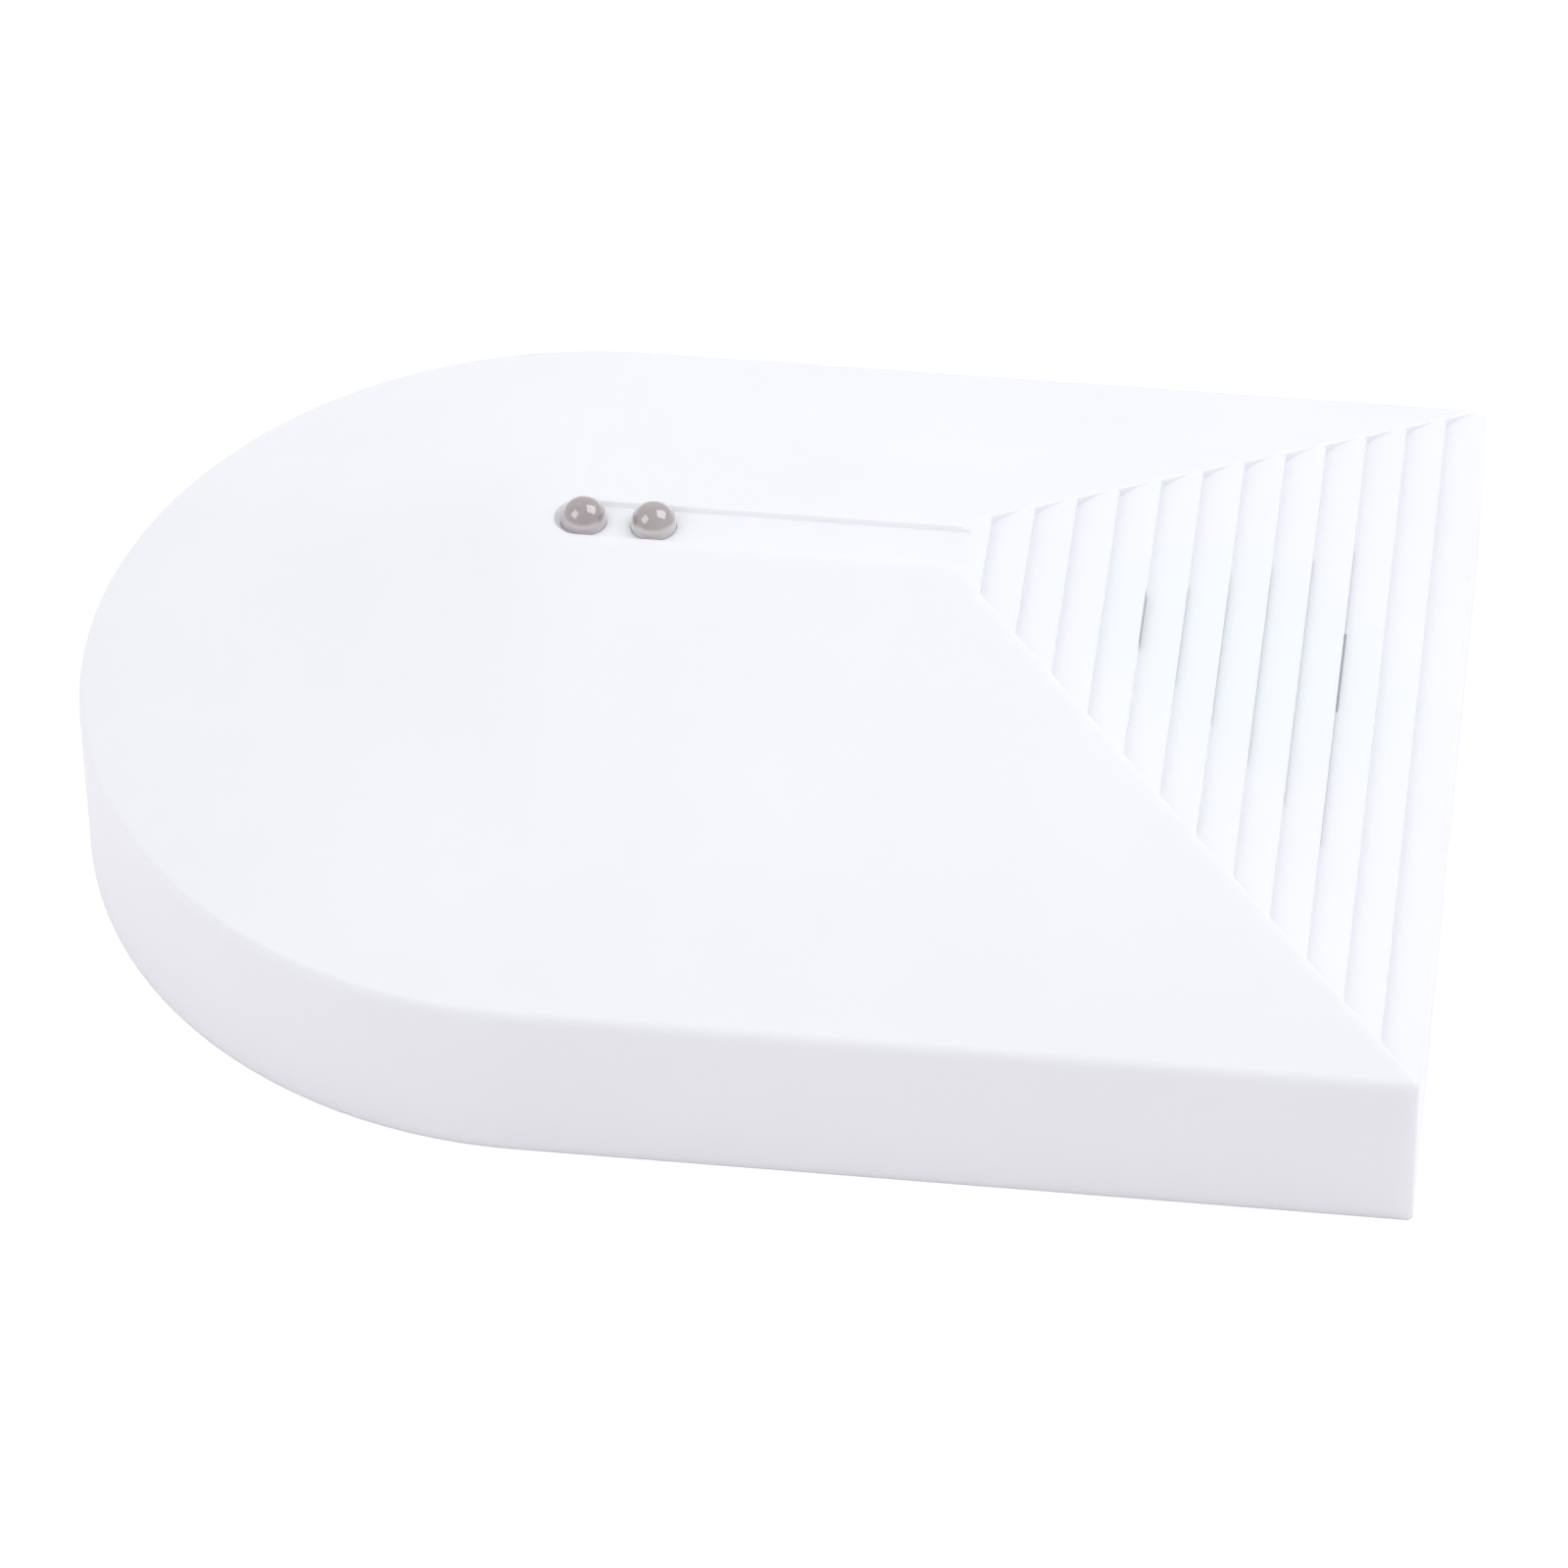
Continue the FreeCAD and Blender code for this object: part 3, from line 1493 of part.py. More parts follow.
def circuit_board():
    """Return the board, cut back round the cover's peg bosses and over the cable hole."""
    stop_x = end_x - shell_thickness - board_margin
    board = plan_form(board_radius, stop_x, board_low_z, board_top_z)
    reach = peg_boss_diameter / 2 + board_peg_gap
    (left_x, _), (corner_x, near_y), (_, far_y) = peg_places()
    cuts = [
        block(-case_length, left_x + reach, -case_width, case_width, 0, crown_height),
        block(corner_x - reach, case_length, far_y - reach, case_width, 0, crown_height),
        block(corner_x - reach, case_length, -case_width, near_y + reach, 0, crown_height),
    ]
    bay_half = wiring_bay_length / 2
    bay_y = board_radius - wiring_bay_depth
    cuts.append(block(terminal_x - bay_half, terminal_x + bay_half, bay_y, case_width, 0, crown_height))
    for x, y in screw_places():
        cuts.append(rod(x, y, 0, crown_height, screw_diameter + 2 * board_hole_clearance))
    for x, y in post_places():
        if (x, y) not in screw_places():
            cuts.append(rod(x, y, 0, crown_height, locating_pin_diameter + 2 * board_hole_clearance))
    cuts += [rod(x, y, 0, crown_height, diameter) for x, y, diameter in board_hole_places()]
    return board.cut(cuts)


def all_nodes():
    """Return every piece under its node name."""
    left_led_x, right_led_x = led_places()
    nodes = {
        "front_cover": front_cover(),
        "dust_cloth": dust_cloth(),
        "back_plate": back_plate(),
        "circuit_board": circuit_board(),
        "board_screws": board_screws(),
        "left_led": led(left_led_x),
        "right_led": led(right_led_x),
        "led_leads": led_leads(),
        "led_spacer": led_spacer(),
        "microphone_capsule": microphone_capsule(),
        "microphone_felt": microphone_felt(),
        "microphone_boot": microphone_boot(),
        "terminal_housing": terminal_housing(),
        "terminal_contacts": terminal_contacts(),
        "tamper_body": tamper_body(),
        "tamper_lid": tamper_lid(),
        "tamper_plunger": tamper_plunger(),
        "tamper_spring": tamper_spring(),
        "trimmer_body": trimmer_body(),
        "trimmer_rotor": trimmer_rotor(),
        "jumper_header": jumper_header(),
        "jumper_pins": jumper_pins(),
        "relay_cover": relay_cover(),
        "relay_base": relay_base(),
        "relay_yoke": relay_yoke(),
        "relay_coil": relay_coil(),
        "relay_armature": relay_armature(),
        "relay_contacts": relay_contacts(),
        "electrolytic_capacitors": electrolytic_capacitors(),
        "controller_chip": chip(controller_place, controller_size),
        "controller_leads": chip_leads(controller_place, controller_size, controller_leads_per_side),
        "amplifier_chip": chip(amplifier_place, amplifier_size),
        "amplifier_leads": chip_leads(amplifier_place, amplifier_size, amplifier_leads_per_side),
        "crystal": crystal(),
        "regulator": regulator(),
        "resistors": resistors(),
        "diodes": diodes(),
        "ceramic_capacitors": ceramic_capacitors(),
        "component_leads": component_leads(),
    }
    for number, x in enumerate(terminal_places(), start=1):
        nodes[f"terminal_screw_{number}"] = terminal_screw(x)
        nodes[f"terminal_clamp_{number}"] = terminal_clamp(x)
    for number in range(jumper_pin_count // 2):
        nodes[f"jumper_cap_{number + 1}"] = jumper_cap(number)
    return nodes


os.makedirs("parts", exist_ok=True)
for node_name, shape in all_nodes().items():
    shape.exportStep(f"parts/{node_name}.step")
    state = "valid" if shape.isValid() else "not valid"
    print(node_name, len(shape.Solids), "solids,", state)
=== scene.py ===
"""The looks of a wired glass break detector: finishes, small details, soft light and the camera."""

import math

import bpy
from mathutils import Matrix, Vector


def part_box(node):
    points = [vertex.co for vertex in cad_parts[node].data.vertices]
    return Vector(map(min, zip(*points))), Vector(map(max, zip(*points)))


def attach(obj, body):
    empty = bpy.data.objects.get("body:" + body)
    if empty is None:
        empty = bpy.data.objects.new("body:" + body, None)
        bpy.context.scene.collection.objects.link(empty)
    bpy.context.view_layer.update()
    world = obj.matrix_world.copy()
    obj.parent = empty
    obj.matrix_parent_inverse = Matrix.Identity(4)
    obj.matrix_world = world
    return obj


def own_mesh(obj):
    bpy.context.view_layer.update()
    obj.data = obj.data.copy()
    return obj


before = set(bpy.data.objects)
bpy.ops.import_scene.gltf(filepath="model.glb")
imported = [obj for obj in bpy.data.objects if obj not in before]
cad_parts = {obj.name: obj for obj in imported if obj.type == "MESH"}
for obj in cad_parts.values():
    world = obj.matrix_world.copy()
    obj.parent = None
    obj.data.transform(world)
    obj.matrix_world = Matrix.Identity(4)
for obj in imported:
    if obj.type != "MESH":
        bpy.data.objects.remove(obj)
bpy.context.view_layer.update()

bl_info = {
    "name": "Glass break detector",
    "version": (1, 0, 0),
    "blender": (4, 5, 0),
    "location": "View3D > Sidebar > Detector",
    "description": "Dresses the packed glass break detector and sets up its stage",
    "category": "Object",
}

MM = 0.001


def cad(node):
    """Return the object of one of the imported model's nodes."""
    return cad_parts[node]


def corners(node):
    """Return the low and the high corner of a node's box, in millimetres."""
    return [tuple(round(value / MM, 3) for value in corner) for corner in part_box(node)]


# Places and sizes, in millimetres unless a comment says otherwise

# Faces of the circuit board, and how far copper and ink stand proud of it
BOARD_LOW, BOARD_TOP = (corner[2] for corner in corners("circuit_board"))
COPPER = 0.05
INK = 0.02

# Least step in height between two overlapping pieces of a track
LAYER = 0.002

# How far an outline stands off the component in it
INK_MARGIN = 0.4

# Middle of the hollow behind the louvres, and from how near to it the painted cool shade of the thin slats
# starts and ends
POCKET_MIDDLE = (32.5, 0.0, 17.0)
POCKET_SHADE_REACH = (14.0, 5.0)

# Span of the painted shade over the open slit under the fifth louvre along X and along Y, and how softly
# each pair of ends fades
SLIT_SHADE_ACROSS = (25.38, 25.44)
SLIT_SHADE_LENGTH = (-2.4, 2.2)
SLIT_SHADE_EDGE = 0.03
SLIT_SHADE_FADE = 0.8

# Heights between which the epoxy of a light turns from its pale rim, painted light from the white slot
# floor, to its darker dome
RIM_LIGHT_RISE = (25.95, 26.35)

# Pitches of the terminals, the resistors, the jumper pins and the chips' feet
TERMINAL_PITCH = 5.0
RESISTOR_PITCH = 3.0
PIN_PITCH = 2.54
FOOT_PITCH = 1.27

# First foot of the controller along X, and its two rows of feet along Y
CONTROLLER_FOOT = -11.72
NEAR_FEET = -23.7
FAR_FEET = -13.2

# Where the resistors' lower leads stand along Y, and the plated holes that short tracks lead to
RESISTOR_FEET = 10.4
RESISTOR_HOLES = tuple((21.0 + RESISTOR_PITCH * column, 8.2) for column in range(5))

# How much is cut off a corner of a wide turn and of a tight one
CUT = 0.8
SMALL_CUT = 0.4

# How far a soldered pin shows below the board at least, and how far apart two points of one pin may be
PIN_SHOWS = 0.05
PIN_GAP = 0.7

# Height, radius at the board and radius at the tip of a solder cone below, above and at a chip's toe
LOW_CONE = (0.85, 0.75, 0.3)
TOP_CONE = (0.22, 0.6, 0.35)
TOE_CONE = (0.2, 0.26, 0.08)

# Radius of a pin's pad below and above, of a plated hole's ring and of its hole, and the height of the tin
LOW_PAD = 0.9
TOP_PAD = 0.8
VIA_RING = 0.38
VIA_HOLE = 0.16
TIN = 0.01

# Half the width of a small pad, and how far a chip foot's pad reaches inwards and outwards from the toe
HALF_PAD = 0.3
FOOT_PAD = (0.8, 0.35)

# Length of a ceramic capacitor's tinned end, and the thickness of the tin on it
CAP_END = 0.4
CAP_TIN = 0.02

# Middle along X and bare top's radius of each electrolytic capacitor, and half the width of its score marks
CAPACITORS = ((-20.0, 2.55), (-29.0, 1.95))
CAN_TOP = corners("electrolytic_capacitors")[1][2]
SCORE = 0.07

# Colour rings of the resistors and of the diodes: share of the length where each colour starts
RESISTOR_RINGS = (
    (0.0, "#D9BE8C"),
    (0.17, "#6B3A1E"),
    (0.25, "#D9BE8C"),
    (0.34, "#1C1A19"),
    (0.42, "#D9BE8C"),
    (0.51, "#D0541F"),
    (0.59, "#D9BE8C"),
    (0.77, "#B08A2E"),
    (0.85, "#D9BE8C"),
)
DIODE_RINGS = ((0.0, "#232324"), (0.74, "#B9BBBD"), (0.88, "#232324"))

# Nodes with pins soldered through the board
THROUGH_PINS = (
    "component_leads",
    "jumper_pins",
    "led_leads",
    "microphone_capsule",
    "relay_contacts",
    "terminal_contacts",
)

# Nodes whose places are outlined on the board
OUTLINED = (
    "amplifier_leads",
    "ceramic_capacitors",
    "controller_chip",
    "crystal",
    "diodes",
    "jumper_header",
    "led_spacer",
    "regulator",
    "relay_cover",
    "resistors",
    "tamper_body",
    "terminal_housing",
    "trimmer_body",
)

# Middle and radius of the round outlines
ROUND_OUTLINES = (((-20.0, 0.0), 3.6), ((-29.0, 0.0), 2.95), ((30.0, 0.0), 6.9))

# Wide tracks of the supply
POWER_ROUTES = (
    [(-14.5, 7.3), (-14.5, 4.6), (-16.4, 2.7)],
    [(25.5, -21.3), (25.5, -23.6), (26.4, -24.5), (28.6, -24.5), (29.5, -23.6), (29.5, -21.3)],
    [(25.5, -9.8), (25.5, -7.6)],
    [(33.8, -22.0), (33.8, -14.0), (36.0, -11.8), (36.0, -4.0)],
    [(-22.9, -6.0), (-17.0, -6.0), (-15.0, -4.0)],
)

# Tracks from the controller to the crystal
CRYSTAL_ROUTES = (
    [(-0.29, -23.7), (-0.29, -27.1), (0.4, -27.8), (8.9, -27.8), (9.6, -27.1), (9.6, -26.5)],
    [(-1.56, -23.7), (-1.56, -28.0), (-0.9, -28.6), (13.7, -28.6), (14.4, -27.9), (14.4, -26.5)],
)

# Plated holes that carry a track to the other face of the board
SPARE_HOLES = ((-18.0, 18.0), (-20.5, 20.5), (17.5, 5.5), (36.5, -14.0), (38.5, -5.0), (-15.0, -9.0))

# How far the floor lies below the back plate, so that they share no face
FLOOR_DROP = 0.02

# Place and width of the two softboxes, in metres
RIGHT_SOFTBOX = ((0.53, 0.17, 0.77), 0.70)
LEFT_SOFTBOX = ((-0.60, -0.34, 0.64), 0.54)


def linear(text):
    """Turn an sRGB hex colour into the linear colour that a shader takes."""
    channels = []
    for place in (1, 3, 5):
        value = int(text[place : place + 2], 16) / 255
        if value <= 0.04045:
            channels.append(value / 12.92)
        else:
            channels.append(((value + 0.055) / 1.055) ** 2.4)
    return (*channels, 1.0)


def tone(colour, share=1.0):
    """Return a shader colour from a hex text or from a setting, darkened to a share of its light."""
    channels = linear(colour) if isinstance(colour, str) else tuple(colour)
    return (*[share * channel for channel in channels[:3]], 1.0)


def add_node(tree, kind, inputs=None, **settings):
    """Add a shader node, set its settings, and set or link its inputs."""
    made = tree.nodes.new(kind)
    for name, value in settings.items():
        setattr(made, name, value)
    for name, value in (inputs or {}).items():
        if isinstance(value, bpy.types.NodeSocket):
            tree.links.new(value, made.inputs[name])
        else:
            made.inputs[name].default_value = value
    return made


def new_material(name):
    """Return an empty node material with its tree."""
    material = bpy.data.materials.new(name)
    material.use_nodes = True
    material.node_tree.nodes.clear()
    return material, material.node_tree


def finished(material, inputs):
    """Close a material with one principled shader that takes these inputs, and return it."""
    shader = add_node(material.node_tree, "ShaderNodeBsdfPrincipled", inputs)
    add_node(material.node_tree, "ShaderNodeOutputMaterial", {"Surface": shader.outputs[0]})
    return material


def grain(tree, size, detail=2.0, place=None):
    """Return a height from 0 to 1 that rises and falls in blobs about size millimetres wide."""
    place = place or add_node(tree, "ShaderNodeTexCoord").outputs["Object"]
    inputs = {"Vector": place, "Scale": 1 / (size * MM), "Detail": detail}
    return add_node(tree, "ShaderNodeTexNoise", inputs).outputs["Fac"]


def skin(tree, height, smooth, rough, relief):
    """Return the roughness and the relief, in millimetres, that a grain gives a surface."""
    spread = {"Value": height, "To Min": smooth, "To Max": rough}
    push = {"Height": height, "Distance": relief * MM}
    return {
        "Roughness": add_node(tree, "ShaderNodeMapRange", spread).outputs["Result"],
        "Normal": add_node(tree, "ShaderNodeBump", push).outputs["Normal"],
    }


def mottled(tree, light, dark, patch):
    """Return a colour that drifts between two tones in patches of about patch millimetres."""
    ramp = add_node(tree, "ShaderNodeValToRGB", {"Fac": grain(tree, patch)})
    ramp.color_ramp.elements[0].position = 0.35
    ramp.color_ramp.elements[0].color = tone(dark)
    ramp.color_ramp.elements[1].position = 0.65
    ramp.color_ramp.elements[1].color = tone(light)
    return ramp.outputs["Color"]


def along(tree, axis):
    """Return how far a point lies along one axis of the object, in metres."""
    place = add_node(tree, "ShaderNodeTexCoord").outputs["Object"]
    return add_node(tree, "ShaderNodeSeparateXYZ", {"Vector": place}).outputs[axis]


def facing(tree, axis):
    """Return how much the surface faces along one axis, from -1 to 1."""
    normal = add_node(tree, "ShaderNodeNewGeometry").outputs["Normal"]
    return add_node(tree, "ShaderNodeSeparateXYZ", {"Vector": normal}).outputs[axis]


def moulded_plastic(name, light, dark, roughness, size=0.15, relief=0.004):
    """Return an injection moulded plastic: a spark eroded grain, and a tone that drifts a little."""
    material, tree = new_material(name)
    grains = grain(tree, size)
    inputs = {"Base Color": mottled(tree, light, dark, 9.0), "IOR": 1.5}
    inputs.update(skin(tree, grains, roughness - 0.04, roughness + 0.04, relief))
    return finished(material, inputs)


def plated_metal(name, light, dark, roughness, size=0.3, relief=0.003):
    """Return a metal with a thin plating that is slightly cloudy and lightly scuffed."""
    material, tree = new_material(name)
    cloud = grain(tree, size, 4.0)
    inputs = {"Base Color": mottled(tree, light, dark, 1.5), "Metallic": 1.0}
    inputs.update(skin(tree, cloud, roughness - 0.06, roughness + 0.08, relief))
    return finished(material, inputs)


def brushed_metal(name, light, dark, roughness):
    """Return a sheet metal with fine rolling marks along its length."""
    material, tree = new_material(name)
    place = add_node(tree, "ShaderNodeTexCoord").outputs["Object"]
    stretched = add_node(tree, "ShaderNodeMapping", {"Vector": place, "Scale": (0.06, 1.0, 1.0)})
    marks = grain(tree, 0.08, 3.0, stretched.outputs["Vector"])
    inputs = {"Base Color": mottled(tree, light, dark, 2.5), "Metallic": 1.0}
    inputs.update(skin(tree, marks, roughness - 0.04, roughness + 0.05, 0.001))
    return finished(material, inputs)


def solder_tin(name):
    """Return bright tin solder that set with a slightly grainy skin."""
    return plated_metal(name, "#DADBDC", "#BDBEC0", 0.24, 0.12, 0.006)


def woven_cloth(name, light, dark, thread):
    """Return a plain woven cloth whose threads are thread millimetres apart, with painted shade in the gaps
    between the threads.
    """
    material, tree = new_material(name)
    place = add_node(tree, "ShaderNodeTexCoord").outputs["Object"]
    split = add_node(tree, "ShaderNodeSeparateXYZ", {"Vector": place})
    waves = []
    for axis in ("X", "Y"):
        turn = {0: split.outputs[axis], 1: math.pi / (thread * MM)}
        turned = add_node(tree, "ShaderNodeMath", turn, operation="MULTIPLY")
        wave = add_node(tree, "ShaderNodeMath", {0: turned.outputs[0]}, operation="SINE")
        waves.append(add_node(tree, "ShaderNodeMath", {0: wave.outputs[0]}, operation="ABSOLUTE"))
    both = {0: waves[0].outputs[0], 1: waves[1].outputs[0]}
    weave = add_node(tree, "ShaderNodeMath", both, operation="MULTIPLY").outputs[0]
    # Painted shade: the colour turns to the dark tone where the threads dip
    ramp = add_node(tree, "ShaderNodeValToRGB", {"Fac": weave})
    ramp.color_ramp.elements[0].color = linear(dark)
    ramp.color_ramp.elements[1].color = linear(light)
    relief = add_node(tree, "ShaderNodeBump", {"Height": weave, "Distance": 0.05 * MM})
    inputs = {
        "Base Color": ramp.outputs["Color"],
        "Roughness": 0.9,
        "Sheen Weight": 0.3,
        "Normal": relief.outputs["Normal"],
    }
    return finished(material, inputs)


def needled_felt(name, light, dark):
    """Return a felt of short tangled fibres, lighter where they stand high and darker between them as
    painted light and shade.
    """
    material, tree = new_material(name)
    fibres = grain(tree, 0.12, 6.0)
    # Painted light and shade: the raised fibres lighter, the hollows between them darker
    ramp = add_node(tree, "ShaderNodeValToRGB", {"Fac": fibres})
    ramp.color_ramp.elements[0].color = linear(dark)
    ramp.color_ramp.elements[1].color = linear(light)
    relief = add_node(tree, "ShaderNodeBump", {"Height": fibres, "Distance": 0.08 * MM})
    inputs = {
        "Base Color": ramp.outputs["Color"],
        "Roughness": 0.95,
        "Sheen Weight": 0.4,
        "Normal": relief.outputs["Normal"],
    }
    return finished(material, inputs)


def clear_epoxy(name, light, dark, rim):
    """Return the cast epoxy of an unlit LED: tinted and cloudy, with a polished skin and a pale foot of
    painted light from the white slot floor.
    """
    material, tree = new_material(name)
    cloud = grain(tree, 0.6)
    # Painted light: below these heights the epoxy takes the pale rim colour that stands for the white slot
    # floor
    height = {"Value": along(tree, "Z"), "From Min": RIM_LIGHT_RISE[0] * MM, "From Max": RIM_LIGHT_RISE[1] * MM}
    rise = add_node(tree, "ShaderNodeMapRange", height, interpolation_type="SMOOTHSTEP")
    dome = {0: rise.outputs["Result"], 6: linear(rim), 7: mottled(tree, light, dark, 1.2)}
    polish = add_node(tree, "ShaderNodeMapRange", {"Value": cloud, "To Min": 0.08, "To Max": 0.14})
    inputs = {
        "Base Color": add_node(tree, "ShaderNodeMix", dome, data_type="RGBA").outputs[2],
        "Roughness": polish.outputs["Result"],
        "IOR": 1.54,
        "Subsurface Weight": 0.8,
        "Subsurface Radius": (1.0, 0.9, 0.9),
        "Subsurface Scale": 0.8 * MM,
        "Coat Weight": 1.0,
        "Coat Roughness": 0.03,
        "Coat IOR": 2.1,
    }
    return finished(material, inputs)


def slit_shade_mask(tree):
    """Return the mask of painted shade: 1 along the foot of the fifth riser, where the slit stands open, and
    0 elsewhere.
    """
    share = 1.0
    for axis, span, fade in (("X", SLIT_SHADE_ACROSS, SLIT_SHADE_EDGE), ("Y", SLIT_SHADE_LENGTH, SLIT_SHADE_FADE)):
        place = along(tree, axis)
        for outside, inside in ((span[0] - fade, span[0]), (span[1] + fade, span[1])):
            reach = {"Value": place, "From Min": outside * MM, "From Max": inside * MM}
            limit = add_node(tree, "ShaderNodeMapRange", reach, interpolation_type="SMOOTHSTEP")
            both = {0: share, 1: limit.outputs["Result"]}
            share = add_node(tree, "ShaderNodeMath", both, operation="MULTIPLY").outputs[0]
    return share


def cover_plastic(name, colour):
    """Return the cover's white ABS: satin and finely grained, with a painted cool shade where the slats are
    thin and a painted shade line along the open fifth slit.
    """
    material, tree = new_material(name)
    place = add_node(tree, "ShaderNodeTexCoord").outputs["Object"]
    grains = grain(tree, 0.16, place=place)
    ends = {0: place, 1: Vector(POCKET_MIDDLE) * MM}
    away = add_node(tree, "ShaderNodeVectorMath", ends, operation="DISTANCE").outputs["Value"]
    reach = {"Value": away, "From Min": POCKET_SHADE_REACH[0] * MM, "From Max": POCKET_SHADE_REACH[1] * MM}
    thin = add_node(tree, "ShaderNodeMapRange", reach, interpolation_type="SMOOTHSTEP")
    white = mottled(tree, colour, tone(colour, 0.985), 14.0)
    # Painted shade: the white turns cooler and darker where the thin slats stand over the hollow
    cold = {0: thin.outputs["Result"], 6: white, 7: linear("#F0F5FB")}
    tinted = add_node(tree, "ShaderNodeMix", cold, data_type="RGBA").outputs[2]
    # Painted shade: a grey line along the foot of the fifth riser, where the slit stands open
    shade = {0: slit_shade_mask(tree), 6: tinted, 7: linear("#BAC0C4")}
    inputs = {
        "Base Color": add_node(tree, "ShaderNodeMix", shade, data_type="RGBA").outputs[2],
        "IOR": 1.53,
        "Specular IOR Level": 0.35,
        "Subsurface Weight": 0.6,
        "Subsurface Radius": (1.0, 1.0, 1.0),
        "Subsurface Scale": 0.6 * MM,
    }
    inputs.update(skin(tree, grains, 0.36, 0.44, 0.004))
    return finished(material, inputs)


def solder_mask(name, colour):
    """Return a board's finish: coloured mask on both faces, and the cut glass epoxy on its edges."""
    material, tree = new_material(name)
    weave = grain(tree, 0.5)
    flat = add_node(tree, "ShaderNodeMath", {0: facing(tree, "Z")}, operation="ABSOLUTE").outputs[0]
    face = add_node(tree, "ShaderNodeMapRange", {"Value": flat, "From Min": 0.6, "From Max": 0.8})
    mask = mottled(tree, colour, tone(colour, 0.8), 7.0)
    edge = mottled(tree, "#B9AE7A", "#A39766", 0.8)
    sides = {0: face.outputs["Result"], 6: edge, 7: mask}
    inputs = {
        "Base Color": add_node(tree, "ShaderNodeMix", sides, data_type="RGBA").outputs[2],
        "Coat Weight": 0.3,
        "Coat Roughness": 0.2,
    }
    inputs.update(skin(tree, weave, 0.26, 0.36, 0.004))
    return finished(material, inputs)


def wound_wire(name, light, dark, turn):
    """Return a coil of enamelled wire, one turn each turn millimetres along X, with painted shade in the
    grooves between turns.
    """
    material, tree = new_material(name)
    turns = {0: along(tree, "X"), 1: 2 * math.pi / (turn * MM)}
    phase = add_node(tree, "ShaderNodeMath", turns, operation="MULTIPLY")
    wave = add_node(tree, "ShaderNodeMath", {0: phase.outputs[0]}, operation="SINE").outputs[0]
    height = add_node(tree, "ShaderNodeMapRange", {"Value": wave, "From Min": -1.0}).outputs["Result"]
    # Painted shade: the colour turns to the dark tone in the grooves between turns
    depth = {0: height, 6: linear(dark), 7: mottled(tree, light, dark, 2.0)}
    relief = add_node(tree, "ShaderNodeBump", {"Height": height, "Distance": 0.05 * MM})
    inputs = {
        "Base Color": add_node(tree, "ShaderNodeMix", depth, data_type="RGBA").outputs[2],
        "Metallic": 0.6,
        "Roughness": 0.3,
        "Normal": relief.outputs["Normal"],
    }
    return finished(material, inputs)


def ringed_body(name, node, rings, roughness):
    """Return a lacquered body with rings of colour along the node's whole length in Y."""
    material, tree = new_material(name)
    low, high = corners(node)
    length = {"Value": along(tree, "Y"), "From Min": low[1] * MM, "From Max": high[1] * MM}
    share = add_node(tree, "ShaderNodeMapRange", length).outputs["Result"]
    ramp = add_node(tree, "ShaderNodeValToRGB", {"Fac": share})
    stops = ramp.color_ramp.elements
    ramp.color_ramp.interpolation = "CONSTANT"
    stops.remove(stops[1])
    stops[0].position = rings[0][0]
    stops[0].color = linear(rings[0][1])
    for position, colour in rings[1:]:
        stops.new(position).color = linear(colour)
    grains = grain(tree, 0.2)
    inputs = {"Base Color": ramp.outputs["Color"]}
    inputs.update(skin(tree, grains, roughness - 0.04, roughness + 0.06, 0.006))
    return finished(material, inputs)


def capacitor_sleeve(name, ground, stripe):
    """Return a shrunk sleeve with a light stripe on the side of the negative lead."""
    material, tree = new_material(name)
    side = {"Value": facing(tree, "Y"), "From Min": 0.88, "From Max": 0.9}
    marked = add_node(tree, "ShaderNodeMapRange", side).outputs["Result"]
    colours = {0: marked, 6: linear(ground), 7: linear(stripe)}
    grains = grain(tree, 0.3)
    inputs = {
        "Base Color": add_node(tree, "ShaderNodeMix", colours, data_type="RGBA").outputs[2],
        "Coat Weight": 0.2,
    }
    inputs.update(skin(tree, grains, 0.24, 0.34, 0.006))
    return finished(material, inputs)


def dress(node, material, bevel=0.0, angle=30.0):
    """Give a CAD node its material, and weld, round and smooth it with live modifiers."""
    piece = cad(node)
    piece.data.materials.clear()
    piece.data.materials.append(material)
    weld = piece.modifiers.new("Weld", "WELD")
    weld.merge_threshold = 0.001 * MM
    if bevel:
        round_edges = piece.modifiers.new("Round edges", "BEVEL")
        round_edges.width = bevel * MM
        round_edges.segments = 2
        round_edges.limit_method = "ANGLE"
        round_edges.angle_limit = math.radians(angle)
        round_edges.use_clamp_overlap = True
    for face in piece.data.polygons:
        face.use_smooth = True
    split = piece.modifiers.new("Sharp edges", "EDGE_SPLIT")
    split.split_angle = math.radians(angle)
    return piece


def terminal_route(number):
    """Return the track from one terminal past the wiring bay to its resistor."""
    start = -14.5 + TERMINAL_PITCH * number
    stop = 33.0 - RESISTOR_PITCH * number
    level = 19.3 - 0.75 * number
    turn = 14.4 + 0.75 * number
    far = 27.0 - 1.0 * number
    return [
        (start, 15.4),
        (start, level - SMALL_CUT),
        (start + SMALL_CUT, level),
        (turn - SMALL_CUT, level),
        (turn, level + SMALL_CUT),
        (turn, far - CUT),
        (turn + CUT, far),
        (stop - CUT, far),
        (stop, far - CUT),
        (stop, 21.4),
    ]


def trimmer_route(number):
    """Return the track from one foot of the controller round to the trimmer."""
    start = CONTROLLER_FOOT + FOOT_PITCH * number
    level = -24.2 - 0.45 * number
    side = -33.2 - 0.6 * number
    corner = -53.2 - 0.5 * number
    stop = 11.0 + 2.0 * number
    return [
        (start, NEAR_FEET),
        (start, level + 0.3),
        (start - 0.3, level),
        (corner - level, level),
        (side, corner - side),
        (side, stop - CUT),
        (side + CUT, stop),
        (-29.8, stop),
    ]


